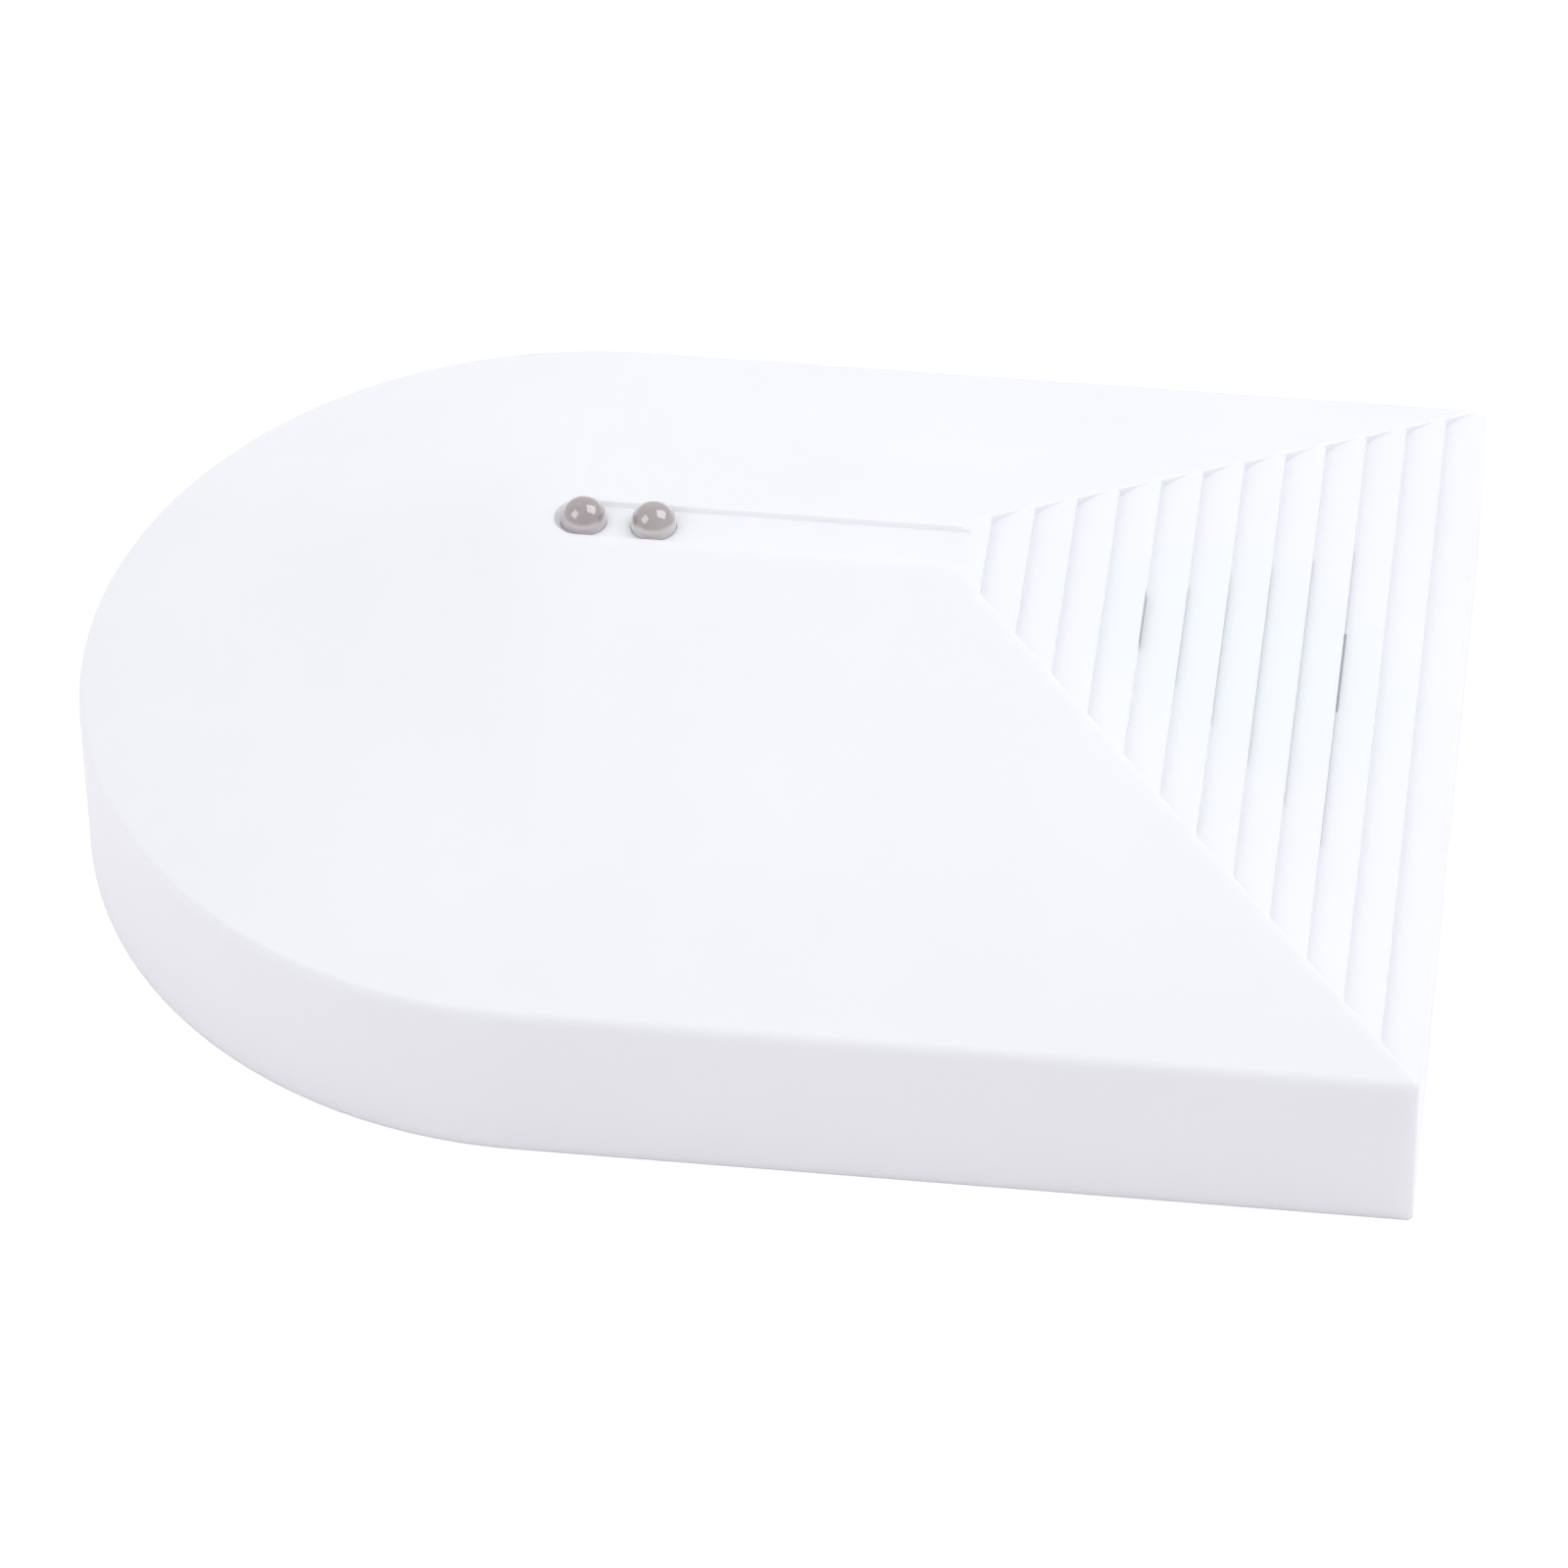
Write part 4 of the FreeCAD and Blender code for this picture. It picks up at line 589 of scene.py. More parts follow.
def light_route(number):
    """Return the track from one foot of the controller to a lead of a light."""
    start = CONTROLLER_FOOT + FOOT_PITCH * number
    stop = (-13.0, -11.0, -8.3, -6.3)[number]
    level = -9.0
    return [(start, FAR_FEET), (start, level), (stop, level + abs(stop - start)), (stop, -2.4)]


def jumper_route(number):
    """Return the track from one foot of the controller to a pin of the jumpers."""
    start = CONTROLLER_FOOT + FOOT_PITCH * (6 + number)
    stop = 2.19 + PIN_PITCH * number
    level = -9.9 - 0.8 * number
    return [
        (start, FAR_FEET),
        (start, level - 0.6),
        (start + 0.6, level),
        (stop - 0.6, level),
        (stop, level + 0.6),
        (stop, -9.2),
    ]


def microphone_route(number):
    """Return the track from one foot of the amplifier to the microphone."""
    start = 12.0 + FOOT_PITCH * number
    level = 0.5 - 1.5 * number
    return [(start, -13.0), (start, level - CUT), (start + CUT, level), (23.5, level)]


def solid_boxes(node):
    """Return the low and high corner of each separate solid of a node, in millimetres."""
    mesh = cad(node).data
    keys = [tuple(round(value / MM, 3) for value in vertex.co) for vertex in mesh.vertices]
    parent = {key: key for key in keys}

    def root(key):
        while parent[key] != key:
            key = parent[key]
        return key

    for face in mesh.polygons:
        first = root(keys[face.vertices[0]])
        for corner in face.vertices[1:]:
            other = root(keys[corner])
            if other != first:
                parent[other] = first
    boxes = {}
    for key in parent:
        low, high = boxes.setdefault(root(key), (list(key), list(key)))
        for axis in range(3):
            low[axis] = min(low[axis], key[axis])
            high[axis] = max(high[axis], key[axis])
    return list(boxes.values())


def pin_places(node):
    """Return where a node's pins come out below the board, in millimetres."""
    pins = []
    for vertex in cad(node).data.vertices:
        x, y, z = vertex.co / MM
        if z > BOARD_LOW - PIN_SHOWS:
            continue
        for low, high in pins:
            beside = low[0] - PIN_GAP < x < high[0] + PIN_GAP
            if beside and low[1] - PIN_GAP < y < high[1] + PIN_GAP:
                low[:] = [min(low[0], x), min(low[1], y)]
                high[:] = [max(high[0], x), max(high[1], y)]
                break
        else:
            pins.append(([x, y], [x, y]))
    return [((low[0] + high[0]) / 2, (low[1] + high[1]) / 2) for low, high in pins]


def slab(low, high):
    """Add a box between two corners given in millimetres."""
    middle = (Vector(low) + Vector(high)) / 2 * MM
    bpy.ops.mesh.primitive_cube_add(size=1.0, location=middle)
    made = bpy.context.object
    made.scale = (Vector(high) - Vector(low)) * MM
    return made


def disc(low, high, radius, top_radius=None):
    """Add an upright round plate or cone at the middle of the board, all sizes in millimetres."""
    bpy.ops.mesh.primitive_cone_add(
        vertices=24,
        radius1=radius * MM,
        radius2=(radius if top_radius is None else top_radius) * MM,
        depth=(high - low) * MM,
        location=(0, 0, (low + high) / 2 * MM),
    )
    return bpy.context.object


def copied(shape, places):
    """Stand a shape at the first place and copies of it, each with its own mesh, at the others."""
    made = [shape]
    for _ in places[1:]:
        copy = shape.copy()
        copy.data = shape.data.copy()
        bpy.context.collection.objects.link(copy)
        made.append(copy)
    for piece, place in zip(made, places):
        piece.location.xy = Vector(place) * MM
    return made


def ring(radius, line):
    """Add a flat ring of ink at the middle of the board, sizes in millimetres."""
    bpy.ops.mesh.primitive_torus_add(
        major_segments=48,
        minor_segments=8,
        major_radius=radius * MM,
        minor_radius=line / 2 * MM,
        location=(0, 0, BOARD_TOP * MM),
    )
    made = bpy.context.object
    made.scale = (1, 1, 2 * INK / line)
    return made


def track(points, width):
    """Add a copper track along a line of points on the board's top, sizes in millimetres."""
    made = []
    height = COPPER
    for start, stop in zip(points, points[1:]):
        run = Vector(stop) - Vector(start)
        middle = (Vector(start) + Vector(stop)) / 2
        bpy.ops.mesh.primitive_cube_add(
            size=1.0,
            location=(middle.x * MM, middle.y * MM, (BOARD_TOP + height / 2) * MM),
            rotation=(0, 0, math.atan2(run.y, run.x)),
        )
        bpy.context.object.scale = (run.length * MM, width * MM, height * MM)
        made.append(bpy.context.object)
        height -= LAYER
        made += copied(disc(BOARD_TOP, BOARD_TOP + height, width / 2), [stop])
        height -= LAYER
    return made


def frame_of_ink(low, high, line):
    """Add the four lines of a rectangle of ink round a box that stands on the board."""
    left, near = low[0] - INK_MARGIN, low[1] - INK_MARGIN
    right, far = high[0] + INK_MARGIN, high[1] + INK_MARGIN
    top = BOARD_TOP + INK
    return [
        slab((left, near, BOARD_TOP), (right, near + line, top)),
        slab((left, far - line, BOARD_TOP), (right, far, top)),
        slab((left, near, BOARD_TOP), (left + line, far, top)),
        slab((right - line, near, BOARD_TOP), (right, far, top)),
    ]


def joined(name, pieces, material, rounding):
    """Join new pieces into one mesh with rounded edges that rides on the base."""
    bpy.ops.object.select_all(action="DESELECT")
    for piece in pieces:
        piece.select_set(True)
    bpy.context.view_layer.objects.active = pieces[0]
    bpy.ops.object.join()
    bpy.ops.object.transform_apply(location=True, rotation=True, scale=True)
    made = bpy.context.object
    round_edges = made.modifiers.new("Round edges", "BEVEL")
    round_edges.width = rounding * MM
    round_edges.segments = 2
    round_edges.limit_method = "ANGLE"
    round_edges.angle_limit = math.radians(40.0)
    bpy.ops.object.modifier_apply(modifier=round_edges.name)
    bpy.ops.object.shade_smooth_by_angle(angle=math.radians(50.0))
    made.name = name
    made.data.name = name
    made.data.materials.append(material)
    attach(made, "base")


def colour_setting(name, description, colour):
    """Return a property that holds a colour, given as an sRGB hex text."""
    return bpy.props.FloatVectorProperty(
        name=name, description=description, default=linear(colour), subtype="COLOR", size=4, min=0.0, max=1.0
    )


def width_setting(name, description, width):
    """Return a property that holds a width, given in millimetres."""
    return bpy.props.FloatProperty(
        name=name, description=description, default=width * MM, unit="LENGTH", precision=5
    )


class FinishSettings(bpy.types.PropertyGroup):
    """What a user may change of the colours and of the copper and ink on the board."""

    cover_colour: colour_setting("Cover", "Colour of the cover's plastic", "#F3F5FD")
    plate_colour: colour_setting("Back plate", "Colour of the back plate", "#EEF0F3")
    board_colour: colour_setting("Board", "Colour of the board's solder mask", "#1E6B3C")
    terminal_colour: colour_setting("Terminals", "Colour of the terminal housing", "#3C8A58")
    trimmer_colour: colour_setting("Trimmer", "Colour of the trimmer's body", "#2C6DB0")
    jumper_colour: colour_setting("Jumpers", "Colour of the jumper caps", "#B02A26")
    track_width: width_setting("Track", "Width of a signal track", 0.25)
    power_width: width_setting("Supply", "Width of a supply track", 0.9)
    ink_width: width_setting("Outline", "Width of a printed line", 0.16)


class StageSettings(bpy.types.PropertyGroup):
    """What a user may change of the light and the camera."""

    sky_strength: bpy.props.FloatProperty(
        name="Sky", description="Strength of the even light all round", default=0.706
    )
    key_strength: bpy.props.FloatProperty(
        name="Right lamp", description="Power of the lamp on the right, in watts", default=3.0, unit="POWER"
    )
    fill_strength: bpy.props.FloatProperty(
        name="Left lamp", description="Power of the lamp on the left, in watts", default=1.4, unit="POWER"
    )
    camera_azimuth: bpy.props.FloatProperty(
        name="Azimuth", description="Camera's turn about the object, in degrees", default=7.716
    )
    camera_elevation: bpy.props.FloatProperty(
        name="Elevation", description="Camera's height above the floor, in degrees", default=42.388
    )
    camera_roll: bpy.props.FloatProperty(
        name="Roll", description="Camera's turn about its own line of sight, in degrees", default=-0.936
    )
    camera_place: bpy.props.FloatVectorProperty(
        name="Camera place",
        description="Where the camera stands",
        default=(0.05949, -0.43055, 0.39955),
        unit="LENGTH",
        subtype="XYZ",
        precision=5,
    )
    camera_lens: bpy.props.FloatProperty(
        name="Lens", description="Focal length on a 36 mm wide sensor, in millimetres", default=198.227
    )


class DETECTOR_OT_cover(bpy.types.Operator):
    """Dress the front cover and the cloth behind its louvres"""

    bl_idname = "detector.cover"
    bl_label = "Cover and dust cloth"

    def execute(self, context):
        # The spark eroded mould gives a satin that spreads the light, and milky plastic softens the edges
        colour = context.scene.detector_finish.cover_colour
        dress("front_cover", cover_plastic("White ABS, spark eroded satin", colour), angle=25.0)
        # Threads over and under give a fine dull check that swallows the light, with painted shade between
        # the threads
        dress("dust_cloth", woven_cloth("Black acoustic cloth, plain weave", "#2C2C2E", "#141415", 0.35))
        return {"FINISHED"}


class DETECTOR_OT_lights(bpy.types.Operator):
    """Dress the two indicator lights, their leads and their spacer"""

    bl_idname = "detector.lights"
    bl_label = "Indicator lights"

    def execute(self, context):
        # Cast in a polished cup: a small sharp highlight on a cloudy grey, with a paler rim at its foot that
        # is painted light from the white slot floor
        dress("left_led", clear_epoxy("LED epoxy, faint mauve", "#9D9194", "#93878A", "#C2B8BA"))
        dress("right_led", clear_epoxy("LED epoxy, neutral", "#A19899", "#989091", "#C6C0C1"))
        # Dipped tin has a soft, slightly cloudy grey shine
        dress("led_leads", plated_metal("Tinned steel leads", "#D2D2D0", "#BDBDBA", 0.3))
        # Matt black with a faint grain
        dress("led_spacer", moulded_plastic("Black nylon, moulded", "#1B1B1C", "#151516", 0.5))
        return {"FINISHED"}


class DETECTOR_OT_back_plate(bpy.types.Operator):
    """Dress the back plate and the screws that hold the board to it"""

    bl_idname = "detector.back_plate"
    bl_label = "Back plate"

    def execute(self, context):
        # A shade greyer and duller than the cover
        colour = context.scene.detector_finish.plate_colour
        white = moulded_plastic("White ABS, moulded", colour, tone(colour, 0.96), 0.42)
        dress("back_plate", white, angle=25.0)
        # Zinc has a cold tint, and a rolled thread blurs the highlights
        dress("board_screws", plated_metal("Zinc plated steel, rolled thread", "#C9CBCF", "#A9ABB0", 0.3))
        return {"FINISHED"}


class DETECTOR_OT_board(bpy.types.Operator):
    """Dress the circuit board and lay its tracks, pads, holes and outlines"""

    bl_idname = "detector.board"
    bl_label = "Circuit board"

    def execute(self, context):
        finish = context.scene.detector_finish
        # The mask was wet and levelled out: glossy, with a trace of the glass weave under it
        dress("circuit_board", solder_mask("Green solder mask on glass epoxy", finish.board_colour))
        self.lay_tracks(finish.track_width / MM, finish.power_width / MM)
        self.plate_holes()
        self.print_outlines(finish.ink_width / MM)
        return {"FINISHED"}

    def lay_tracks(self, width, power_width):
        """Lay the copper tracks under the mask, sizes in millimetres."""
        routes = []
        for number in range(5):
            routes.append(terminal_route(number))
        for number in range(3):
            routes.append(trimmer_route(number))
        for number in range(4):
            routes.append(light_route(number))
            routes.append(jumper_route(number))
            routes.append(microphone_route(number))
        routes += CRYSTAL_ROUTES
        pieces = []
        for route in routes:
            pieces += track(route, width)
        for route in POWER_ROUTES:
            pieces += track(route, power_width)
        for hole in RESISTOR_HOLES:
            pieces += track([(hole[0], RESISTOR_FEET), hole], width)
        # Copper shines through the mask and makes it lighter
        mask = moulded_plastic("Solder mask over copper tracks", "#2E8450", "#277648", 0.28, 0.4, 0.003)
        joined("board_tracks", pieces, mask, 0.015)

    def plate_holes(self):
        """Set the tinned rings of the plated holes, with a dark disc of painted shade in each hole."""
        places = RESISTOR_HOLES + SPARE_HOLES
        rings = copied(disc(BOARD_TOP, BOARD_TOP + COPPER + TIN, VIA_RING), places)
        # Levelled with hot air: bright and a little cloudy
        joined("board_vias", rings, solder_tin("Tinned copper rings"), 0.02)
        holes = copied(disc(BOARD_TOP, BOARD_TOP + COPPER + 2 * TIN, VIA_HOLE), places)
        # Painted shade: a dark disc stands in each drilled hole, where no light comes back
        dark = moulded_plastic("Painted shade in drilled holes", "#17211B", "#121A15", 0.6)
        joined("board_via_hole_shade", holes, dark, 0.01)

    def print_outlines(self, width):
        """Lay the white outlines that show where each component stands."""
        lines = []
        for node in OUTLINED:
            for low, high in solid_boxes(node):
                lines += frame_of_ink(low, high, width)
        for place, radius in ROUND_OUTLINES:
            lines += copied(ring(radius, width), [place])
        # Screened through a mesh: flat, chalky and slightly uneven
        ink = moulded_plastic("White screen printed ink", "#E6E8E2", "#D5D8D0", 0.6, 0.12, 0.004)
        joined("board_outlines", lines, ink, 0.006)


class DETECTOR_OT_solder(bpy.types.Operator):
    """Solder the pins and the feet of the components to the board"""

    bl_idname = "detector.solder"
    bl_label = "Solder"

    def execute(self, context):
        joints = []
        pads = []
        for group in (self.pins(), self.feet(), self.caps()):
            joints += group[0]
            pads += group[1]
        # Solder that set slowly: bright, with small dull patches
        joined("solder_joints", joints, solder_tin("Tin solder, bright"), 0.06)
        joined("board_pads", pads, solder_tin("Tinned copper pads"), 0.015)
        return {"FINISHED"}

    def pins(self):
        """Return the joints and the pads of the pins that go through the board."""
        places = []
        for node in THROUGH_PINS:
            places += pin_places(node)
        height, foot, tip = LOW_CONE
        joints = copied(disc(BOARD_LOW - height, BOARD_LOW, tip, foot), places)
        height, foot, tip = TOP_CONE
        joints += copied(disc(BOARD_TOP, BOARD_TOP + height, foot, tip), places)
        pads = copied(disc(BOARD_TOP, BOARD_TOP + COPPER + TIN, TOP_PAD), places)
        pads += copied(disc(BOARD_LOW - COPPER, BOARD_LOW, LOW_PAD), places)
        return joints, pads

    def feet(self):
        """Return the joints and the pads of the chips' bent feet."""
        toes = []
        pads = []
        for node in ("amplifier_leads", "controller_leads"):
            low, high = corners(node)
            middle = (low[1] + high[1]) / 2
            for low, high in solid_boxes(node):
                x = (low[0] + high[0]) / 2
                outward = 1 if low[1] > middle else -1
                toe = high[1] if outward > 0 else low[1]
                toes.append((x, toe))
                near, far = sorted((toe - outward * FOOT_PAD[0], toe + outward * FOOT_PAD[1]))
                pad_low = (x - HALF_PAD, near, BOARD_TOP)
                pads.append(slab(pad_low, (x + HALF_PAD, far, BOARD_TOP + COPPER)))
        height, foot, tip = TOE_CONE
        return copied(disc(BOARD_TOP, BOARD_TOP + height, foot, tip), toes), pads

    def caps(self):
        """Return the tinned ends of the ceramic capacitors, and their pads."""
        ends = []
        pads = []
        for low, high in solid_boxes("ceramic_capacitors"):
            for start, stop in ((low[0], low[0] + CAP_END), (high[0] - CAP_END, high[0])):
                wrap_low = (start - CAP_TIN, low[1] - CAP_TIN, BOARD_TOP)
                ends.append(slab(wrap_low, (stop + CAP_TIN, high[1] + CAP_TIN, high[2] + CAP_TIN)))
                pad_low = (start - HALF_PAD, low[1] - 0.1, BOARD_TOP)
                pads.append(slab(pad_low, (stop + HALF_PAD, high[1] + 0.1, BOARD_TOP + COPPER)))
        return ends, pads


class DETECTOR_OT_terminals(bpy.types.Operator):
    """Dress the screw terminals"""

    bl_idname = "detector.terminals"
    bl_label = "Terminals"

    def execute(self, context):
        # Glass filled: dull and slightly uneven
        colour = context.scene.detector_finish.terminal_colour
        green = moulded_plastic("Green PBT, moulded", colour, tone(colour, 0.84), 0.45)
        dress("terminal_housing", green, 0.08)
        # Tin takes the yellow out of the brass and blurs its shine
        dress("terminal_contacts", plated_metal("Tinned brass strip", "#CFCFC8", "#B4B4AC", 0.3))
        # The turned heads have a clean cold shine, the pressed clamps a warmer, duller one
        screw = plated_metal("Zinc plated steel, turned", "#CBCDD1", "#A2A5AB", 0.28, 0.2)
        clamp = plated_metal("Nickel plated brass, pressed", "#C8C2B2", "#ABA593", 0.34)
        for number in range(1, 8):
            dress("terminal_screw_%d" % number, screw, 0.03)
            dress("terminal_clamp_%d" % number, clamp, 0.05)
        return {"FINISHED"}


class DETECTOR_OT_microphone(bpy.types.Operator):
    """Dress the microphone and its rubber boot"""

    bl_idname = "detector.microphone"
    bl_label = "Microphone"

    def execute(self, context):
        # Rubber is very dark and evenly matt
        dress("microphone_boot", moulded_plastic("Black EPDM rubber", "#1D1D1E", "#161617", 0.72, 0.1))
        # The die leaves fine marks that stretch the highlights
        dress("microphone_capsule", brushed_metal("Drawn aluminium can", "#D5D6D8", "#B9BABD", 0.32))
        # Loose fibres catch a little light over a ground that has none, painted as lighter fibres over
        # darker hollows
        dress("microphone_felt", needled_felt("Black needled felt", "#2B2B2D", "#0F0F10"))
        return {"FINISHED"}


class DETECTOR_OT_relay(bpy.types.Operator):
    """Dress the alarm relay, inside and out"""

    bl_idname = "detector.relay"
    bl_label = "Relay"

    def execute(self, context):
        # The case is black and half matt, the base under it duller
        dress("relay_cover", moulded_plastic("Black PBT, relay case", "#26282A", "#202224", 0.38), 0.08)
        dress("relay_base", moulded_plastic("Black phenolic, moulded", "#202021", "#1A1A1B", 0.55))
        # Round turns side by side give fine bright stripes under amber enamel, with painted shade in the
        # grooves between them
        dress("relay_coil", wound_wire("Enamelled copper wire, wound", "#B5622E", "#7E3E1B", 0.12))
        # Rolled iron under nickel: warm grey, with faint marks along its length
        dress("relay_yoke", brushed_metal("Nickel plated iron, bent", "#B9B7B1", "#9C9A94", 0.35))
        dress("relay_armature", brushed_metal("Nickel plated iron, stamped", "#BDBBB5", "#A09E98", 0.35))
        # Silver over bronze is pale and slightly warm
        dress("relay_contacts", plated_metal("Silver plated bronze spring", "#D8D4C8", "#B9B2A0", 0.3))
        return {"FINISHED"}


class DETECTOR_OT_switches(bpy.types.Operator):
    """Dress the tamper switch, the sensitivity trimmer and the setting jumpers"""

    bl_idname = "detector.switches"
    bl_label = "Switch, trimmer and jumpers"

    def execute(self, context):
        # Matt black under a bright pressed sheet, with a waxy white plunger
        dress("tamper_body", moulded_plastic("Black nylon, switch", "#222324", "#1B1C1D", 0.5), 0.06)
        dress("tamper_lid", brushed_metal("Stainless steel sheet, pressed", "#C6C7C9", "#A8A9AC", 0.36))
        dress("tamper_plunger", moulded_plastic("White acetal, moulded", "#EDEDE8", "#E4E4DE", 0.3), 0.06)
        # Tempered wire is dark grey and shines along its turns
        wire = plated_metal("Spring steel wire, coiled", "#9B9C9E", "#77787B", 0.34, 0.15)
        spring = dress("tamper_spring", wire)
        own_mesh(spring)
        # An even blue with a soft sheen round an off-white rotor
        finish = context.scene.detector_finish
        blue = moulded_plastic("Blue PBT", finish.trimmer_colour, tone(finish.trimmer_colour, 0.82), 0.4)
        dress("trimmer_body", blue, 0.08)
        dress("trimmer_rotor", moulded_plastic("White nylon, rotor", "#E9E9E3", "#DFDFD8", 0.42), 0.04)
        # Gold over brass is a warm bright shine between dull black and an even red
        dress("jumper_header", moulded_plastic("Black PBT, header", "#1F1F20", "#19191A", 0.48), 0.05)
        dress("jumper_pins", plated_metal("Gold plated brass pins", "#DDB659", "#C49A3C", 0.22, 0.2))
        red = moulded_plastic("Red PBT", finish.jumper_colour, tone(finish.jumper_colour, 0.82), 0.42)
        dress("jumper_cap_1", red, 0.08)
        dress("jumper_cap_2", red, 0.08)
        return {"FINISHED"}


class DETECTOR_OT_chips(bpy.types.Operator):
    """Dress the chips, the regulator and the crystal"""

    bl_idname = "detector.chips"
    bl_label = "Chips and crystal"

    def execute(self, context):
        # Filled with silica: charcoal, with a dry fine grain
        epoxy = moulded_plastic("Black epoxy, transfer moulded", "#252628", "#1D1E20", 0.58, 0.08, 0.006)
        for node in ("controller_chip", "amplifier_chip", "regulator"):
            dress(node, epoxy, 0.04)
        # Dipped in tin: pale, with blurred highlights
        feet = plated_metal("Tinned copper lead frame", "#D0D1D0", "#B6B7B6", 0.28)
        dress("controller_leads", feet)
        dress("amplifier_leads", feet)
        # Drawn from sheet: smooth, faintly yellow, with stretched highlights
        dress("crystal", brushed_metal("Nickel silver can, drawn", "#CFCEC9", "#B3B2AC", 0.28))
        return {"FINISHED"}


class DETECTOR_OT_small_parts(bpy.types.Operator):
    """Dress the resistors, the diodes and the capacitors"""

    bl_idname = "detector.small_parts"
    bl_label = "Resistors, diodes and capacitors"

    def execute(self, context):
        # Dipped wire: bright and slightly cloudy
        dress("component_leads", plated_metal("Tinned copper wire", "#D3D3D1", "#BABAB7", 0.26))
        # Dipped in lacquer: glossy and a little wavy, with the rings printed on it
        dress("resistors", ringed_body("Lacquer with colour rings", "resistors", RESISTOR_RINGS, 0.3))
        # Moulded epoxy: dull black, with a printed ring on the cathode's side
        dress("diodes", ringed_body("Black epoxy with light ring", "diodes", DIODE_RINGS, 0.42))
        # Shrunk tight with heat: glossy, with a light stripe
        dress("electrolytic_capacitors", capacitor_sleeve("Shrunk PVC sleeve", "#232B45", "#C4C8D2"))
        # Fired and tumbled: a dull warm brown
        dress("ceramic_capacitors", moulded_plastic("Fired ceramic", "#B59A74", "#A68B65", 0.55, 0.1))
        lids = []
        vents = []
        for x, radius in CAPACITORS:
            lids += copied(disc(CAN_TOP - 0.03, CAN_TOP + 0.01, radius), [(x, 0.0)])
            arm = 0.7 * radius
            vents.append(slab((x - arm, -SCORE, CAN_TOP), (x + arm, SCORE, CAN_TOP + INK)))
            vents.append(slab((x - SCORE, -arm, CAN_TOP), (x + SCORE, arm, CAN_TOP + INK)))
        # Bare aluminium: a pale brushed disc, with darker lines of painted shade where it is scored to burst
        can = brushed_metal("Aluminium can, pressed", "#D3D5D8", "#B8BABE", 0.3)
        joined("capacitor_lids", lids, can, 0.015)
        score = plated_metal("Aluminium, painted shade of scored vent", "#6F7175", "#5A5C60", 0.45)
        joined("capacitor_vent_shade", vents, score, 0.006)
        return {"FINISHED"}


class DETECTOR_OT_stage(bpy.types.Operator):
    """Lay the pale floor, hang the soft lamps and stand the camera"""

    bl_idname = "detector.stage"
    bl_label = "Stage"

    def execute(self, context):
        settings = context.scene.detector_stage
        make_floor()
        make_sky(settings.sky_strength)
        make_lamp("Right softbox", *RIGHT_SOFTBOX, settings.key_strength)
        make_lamp("Left softbox", *LEFT_SOFTBOX, settings.fill_strength)
        make_camera(settings)
        context.scene.view_settings.view_transform = "Standard"
        return {"FINISHED"}


def seen_ray(tree):
    """Return a value that is 1 for what the camera, a mirror or a lens sees."""
    path = add_node(tree, "ShaderNodeLightPath")
    direct = {0: path.outputs["Is Camera Ray"], 1: path.outputs["Is Glossy Ray"]}
    first = add_node(tree, "ShaderNodeMath", direct, operation="MAXIMUM")
    either = {0: first.outputs[0], 1: path.outputs["Is Transmission Ray"]}
    return add_node(tree, "ShaderNodeMath", either, operation="MAXIMUM").outputs[0]


def make_floor():
    """Lay a wide white floor that keeps the object's shadow."""
    bpy.ops.mesh.primitive_plane_add(size=6.0, location=(0, 0, -FLOOR_DROP * MM))
    floor = bpy.context.object
    floor.name = "floor"
    # Matt paper without shine, with a glow in what is seen that makes it as white as the photograph
    material, tree = new_material("Seamless white paper")
    relief = add_node(tree, "ShaderNodeBump", {"Height": grain(tree, 0.4), "Distance": 0.002 * MM})
    surface = {"Color": linear("#F0EBEF"), "Normal": relief.outputs["Normal"]}
    paper = add_node(tree, "ShaderNodeBsdfDiffuse", surface)
    glow = add_node(tree, "ShaderNodeEmission", {"Strength": 0.36})
    seen = add_node(tree, "ShaderNodeMixShader", {0: seen_ray(tree), 2: glow.outputs[0]})
    total = add_node(tree, "ShaderNodeAddShader", {0: paper.outputs[0], 1: seen.outputs[0]})
    add_node(tree, "ShaderNodeOutputMaterial", {"Surface": total.outputs[0]})
    floor.data.materials.append(material)


def make_sky(strength):
    """Light the object evenly, and show white to whatever sees the sky."""
    world = bpy.data.worlds.new("Soft white studio")
    world.use_nodes = True
    bpy.context.scene.world = world
    tree = world.node_tree
    tree.nodes.clear()
    even = add_node(tree, "ShaderNodeBackground", {"Color": linear("#FFFFFF"), "Strength": strength})
    white = add_node(tree, "ShaderNodeBackground", {"Color": linear("#FFFFFF"), "Strength": 1.0})
    sides = {0: seen_ray(tree), 1: even.outputs[0], 2: white.outputs[0]}
    mix = add_node(tree, "ShaderNodeMixShader", sides)
    add_node(tree, "ShaderNodeOutputWorld", {"Surface": mix.outputs[0]})


def make_lamp(name, place, size, power):
    """Hang a square softbox that points at the object."""
    data = bpy.data.lights.new(name, "AREA")
    data.size = size
    data.energy = power
    lamp = bpy.data.objects.new(name, data)
    bpy.context.scene.collection.objects.link(lamp)
    lamp.location = place
    lamp.rotation_euler = (-Vector(place)).to_track_quat("-Z", "Y").to_euler()


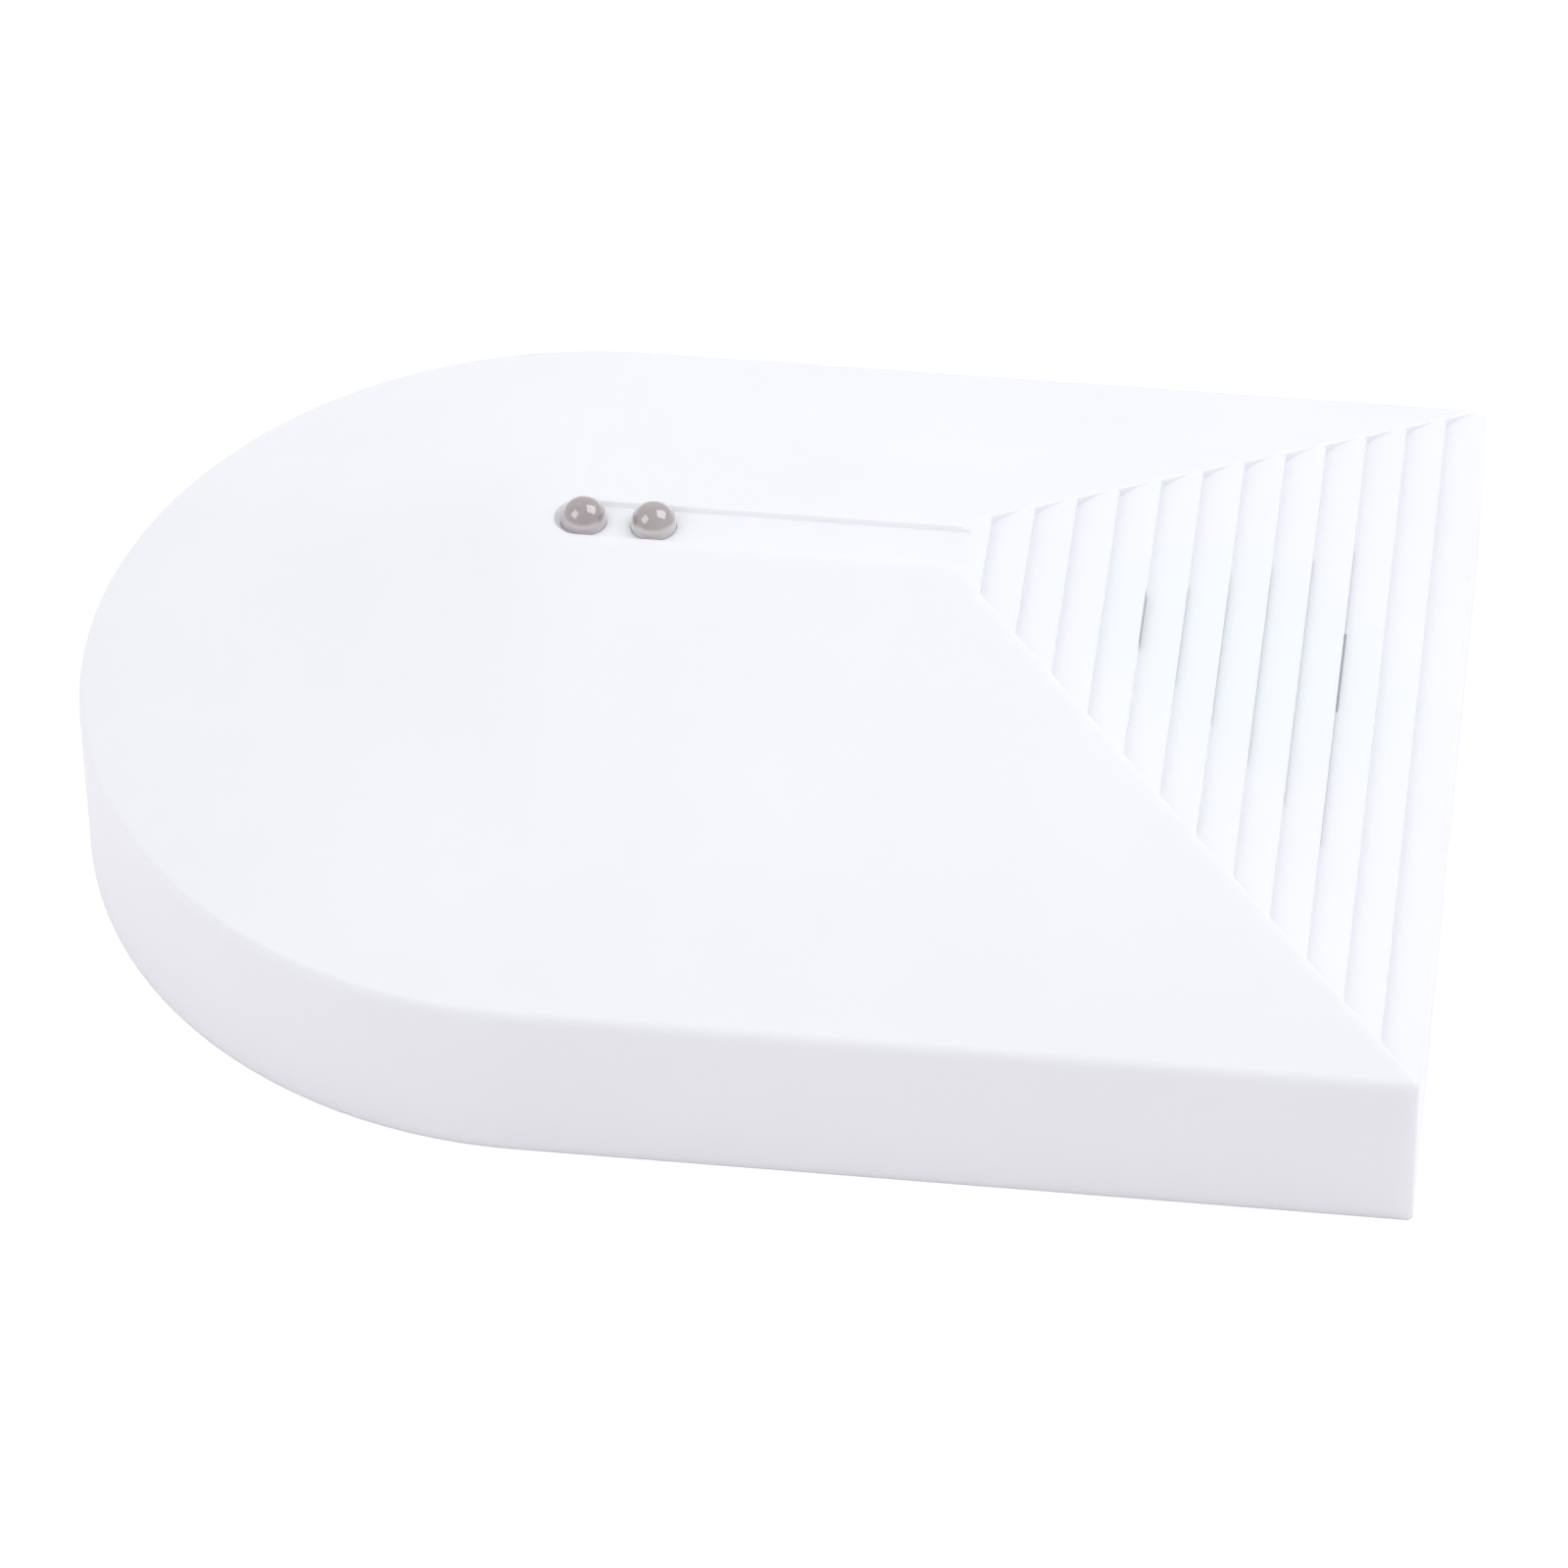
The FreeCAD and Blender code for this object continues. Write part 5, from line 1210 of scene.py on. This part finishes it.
def make_camera(settings):
    """Stand the camera where the photograph was taken."""
    data = bpy.data.cameras.new("Camera")
    data.sensor_width = 36.0
    data.lens = settings.camera_lens
    data.clip_start = 0.05
    data.clip_end = 10.0
    camera = bpy.data.objects.new("Camera", data)
    bpy.context.scene.collection.objects.link(camera)
    turn = math.radians(settings.camera_azimuth)
    rise = math.radians(settings.camera_elevation)
    roll = math.radians(settings.camera_roll)
    back = Vector(
        (math.sin(turn) * math.cos(rise), -math.cos(turn) * math.cos(rise), math.sin(rise))
    )
    level = Vector((math.cos(turn), math.sin(turn), 0))
    upright = back.cross(level)
    right = level * math.cos(roll) + upright * math.sin(roll)
    upward = back.cross(right)
    aim = Matrix((right, upward, back)).transposed().to_4x4()
    camera.matrix_world = Matrix.Translation(settings.camera_place) @ aim
    bpy.context.scene.camera = camera


class DETECTOR_PT_panel(bpy.types.Panel):
    """Lists the detector's pieces and stage"""

    bl_idname = "DETECTOR_PT_panel"
    bl_label = "Glass break detector"
    bl_space_type = "VIEW_3D"
    bl_region_type = "UI"
    bl_category = "Detector"

    def draw(self, context):
        for operator in OPERATORS:
            self.layout.operator(operator.bl_idname)
        for name in FinishSettings.__annotations__:
            self.layout.prop(context.scene.detector_finish, name)
        for name in StageSettings.__annotations__:
            self.layout.prop(context.scene.detector_stage, name)


OPERATORS = (
    DETECTOR_OT_cover,
    DETECTOR_OT_lights,
    DETECTOR_OT_back_plate,
    DETECTOR_OT_board,
    DETECTOR_OT_solder,
    DETECTOR_OT_terminals,
    DETECTOR_OT_microphone,
    DETECTOR_OT_relay,
    DETECTOR_OT_switches,
    DETECTOR_OT_chips,
    DETECTOR_OT_small_parts,
    DETECTOR_OT_stage,
)


def register():
    """Register the settings, the operators and the panel."""
    bpy.utils.register_class(FinishSettings)
    bpy.types.Scene.detector_finish = bpy.props.PointerProperty(type=FinishSettings)
    bpy.utils.register_class(StageSettings)
    bpy.types.Scene.detector_stage = bpy.props.PointerProperty(type=StageSettings)
    for operator in OPERATORS:
        bpy.utils.register_class(operator)
    bpy.utils.register_class(DETECTOR_PT_panel)


def unregister():
    """Take away what register added."""
    bpy.utils.unregister_class(DETECTOR_PT_panel)
    for operator in reversed(OPERATORS):
        bpy.utils.unregister_class(operator)
    del bpy.types.Scene.detector_stage
    bpy.utils.unregister_class(StageSettings)
    del bpy.types.Scene.detector_finish
    bpy.utils.unregister_class(FinishSettings)


def main():
    """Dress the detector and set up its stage."""
    register()
    bpy.ops.detector.cover()
    bpy.ops.detector.lights()
    bpy.ops.detector.back_plate()
    bpy.ops.detector.board()
    bpy.ops.detector.solder()
    bpy.ops.detector.terminals()
    bpy.ops.detector.microphone()
    bpy.ops.detector.relay()
    bpy.ops.detector.switches()
    bpy.ops.detector.chips()
    bpy.ops.detector.small_parts()
    bpy.ops.detector.stage()


if __name__ == "__main__":
    main()
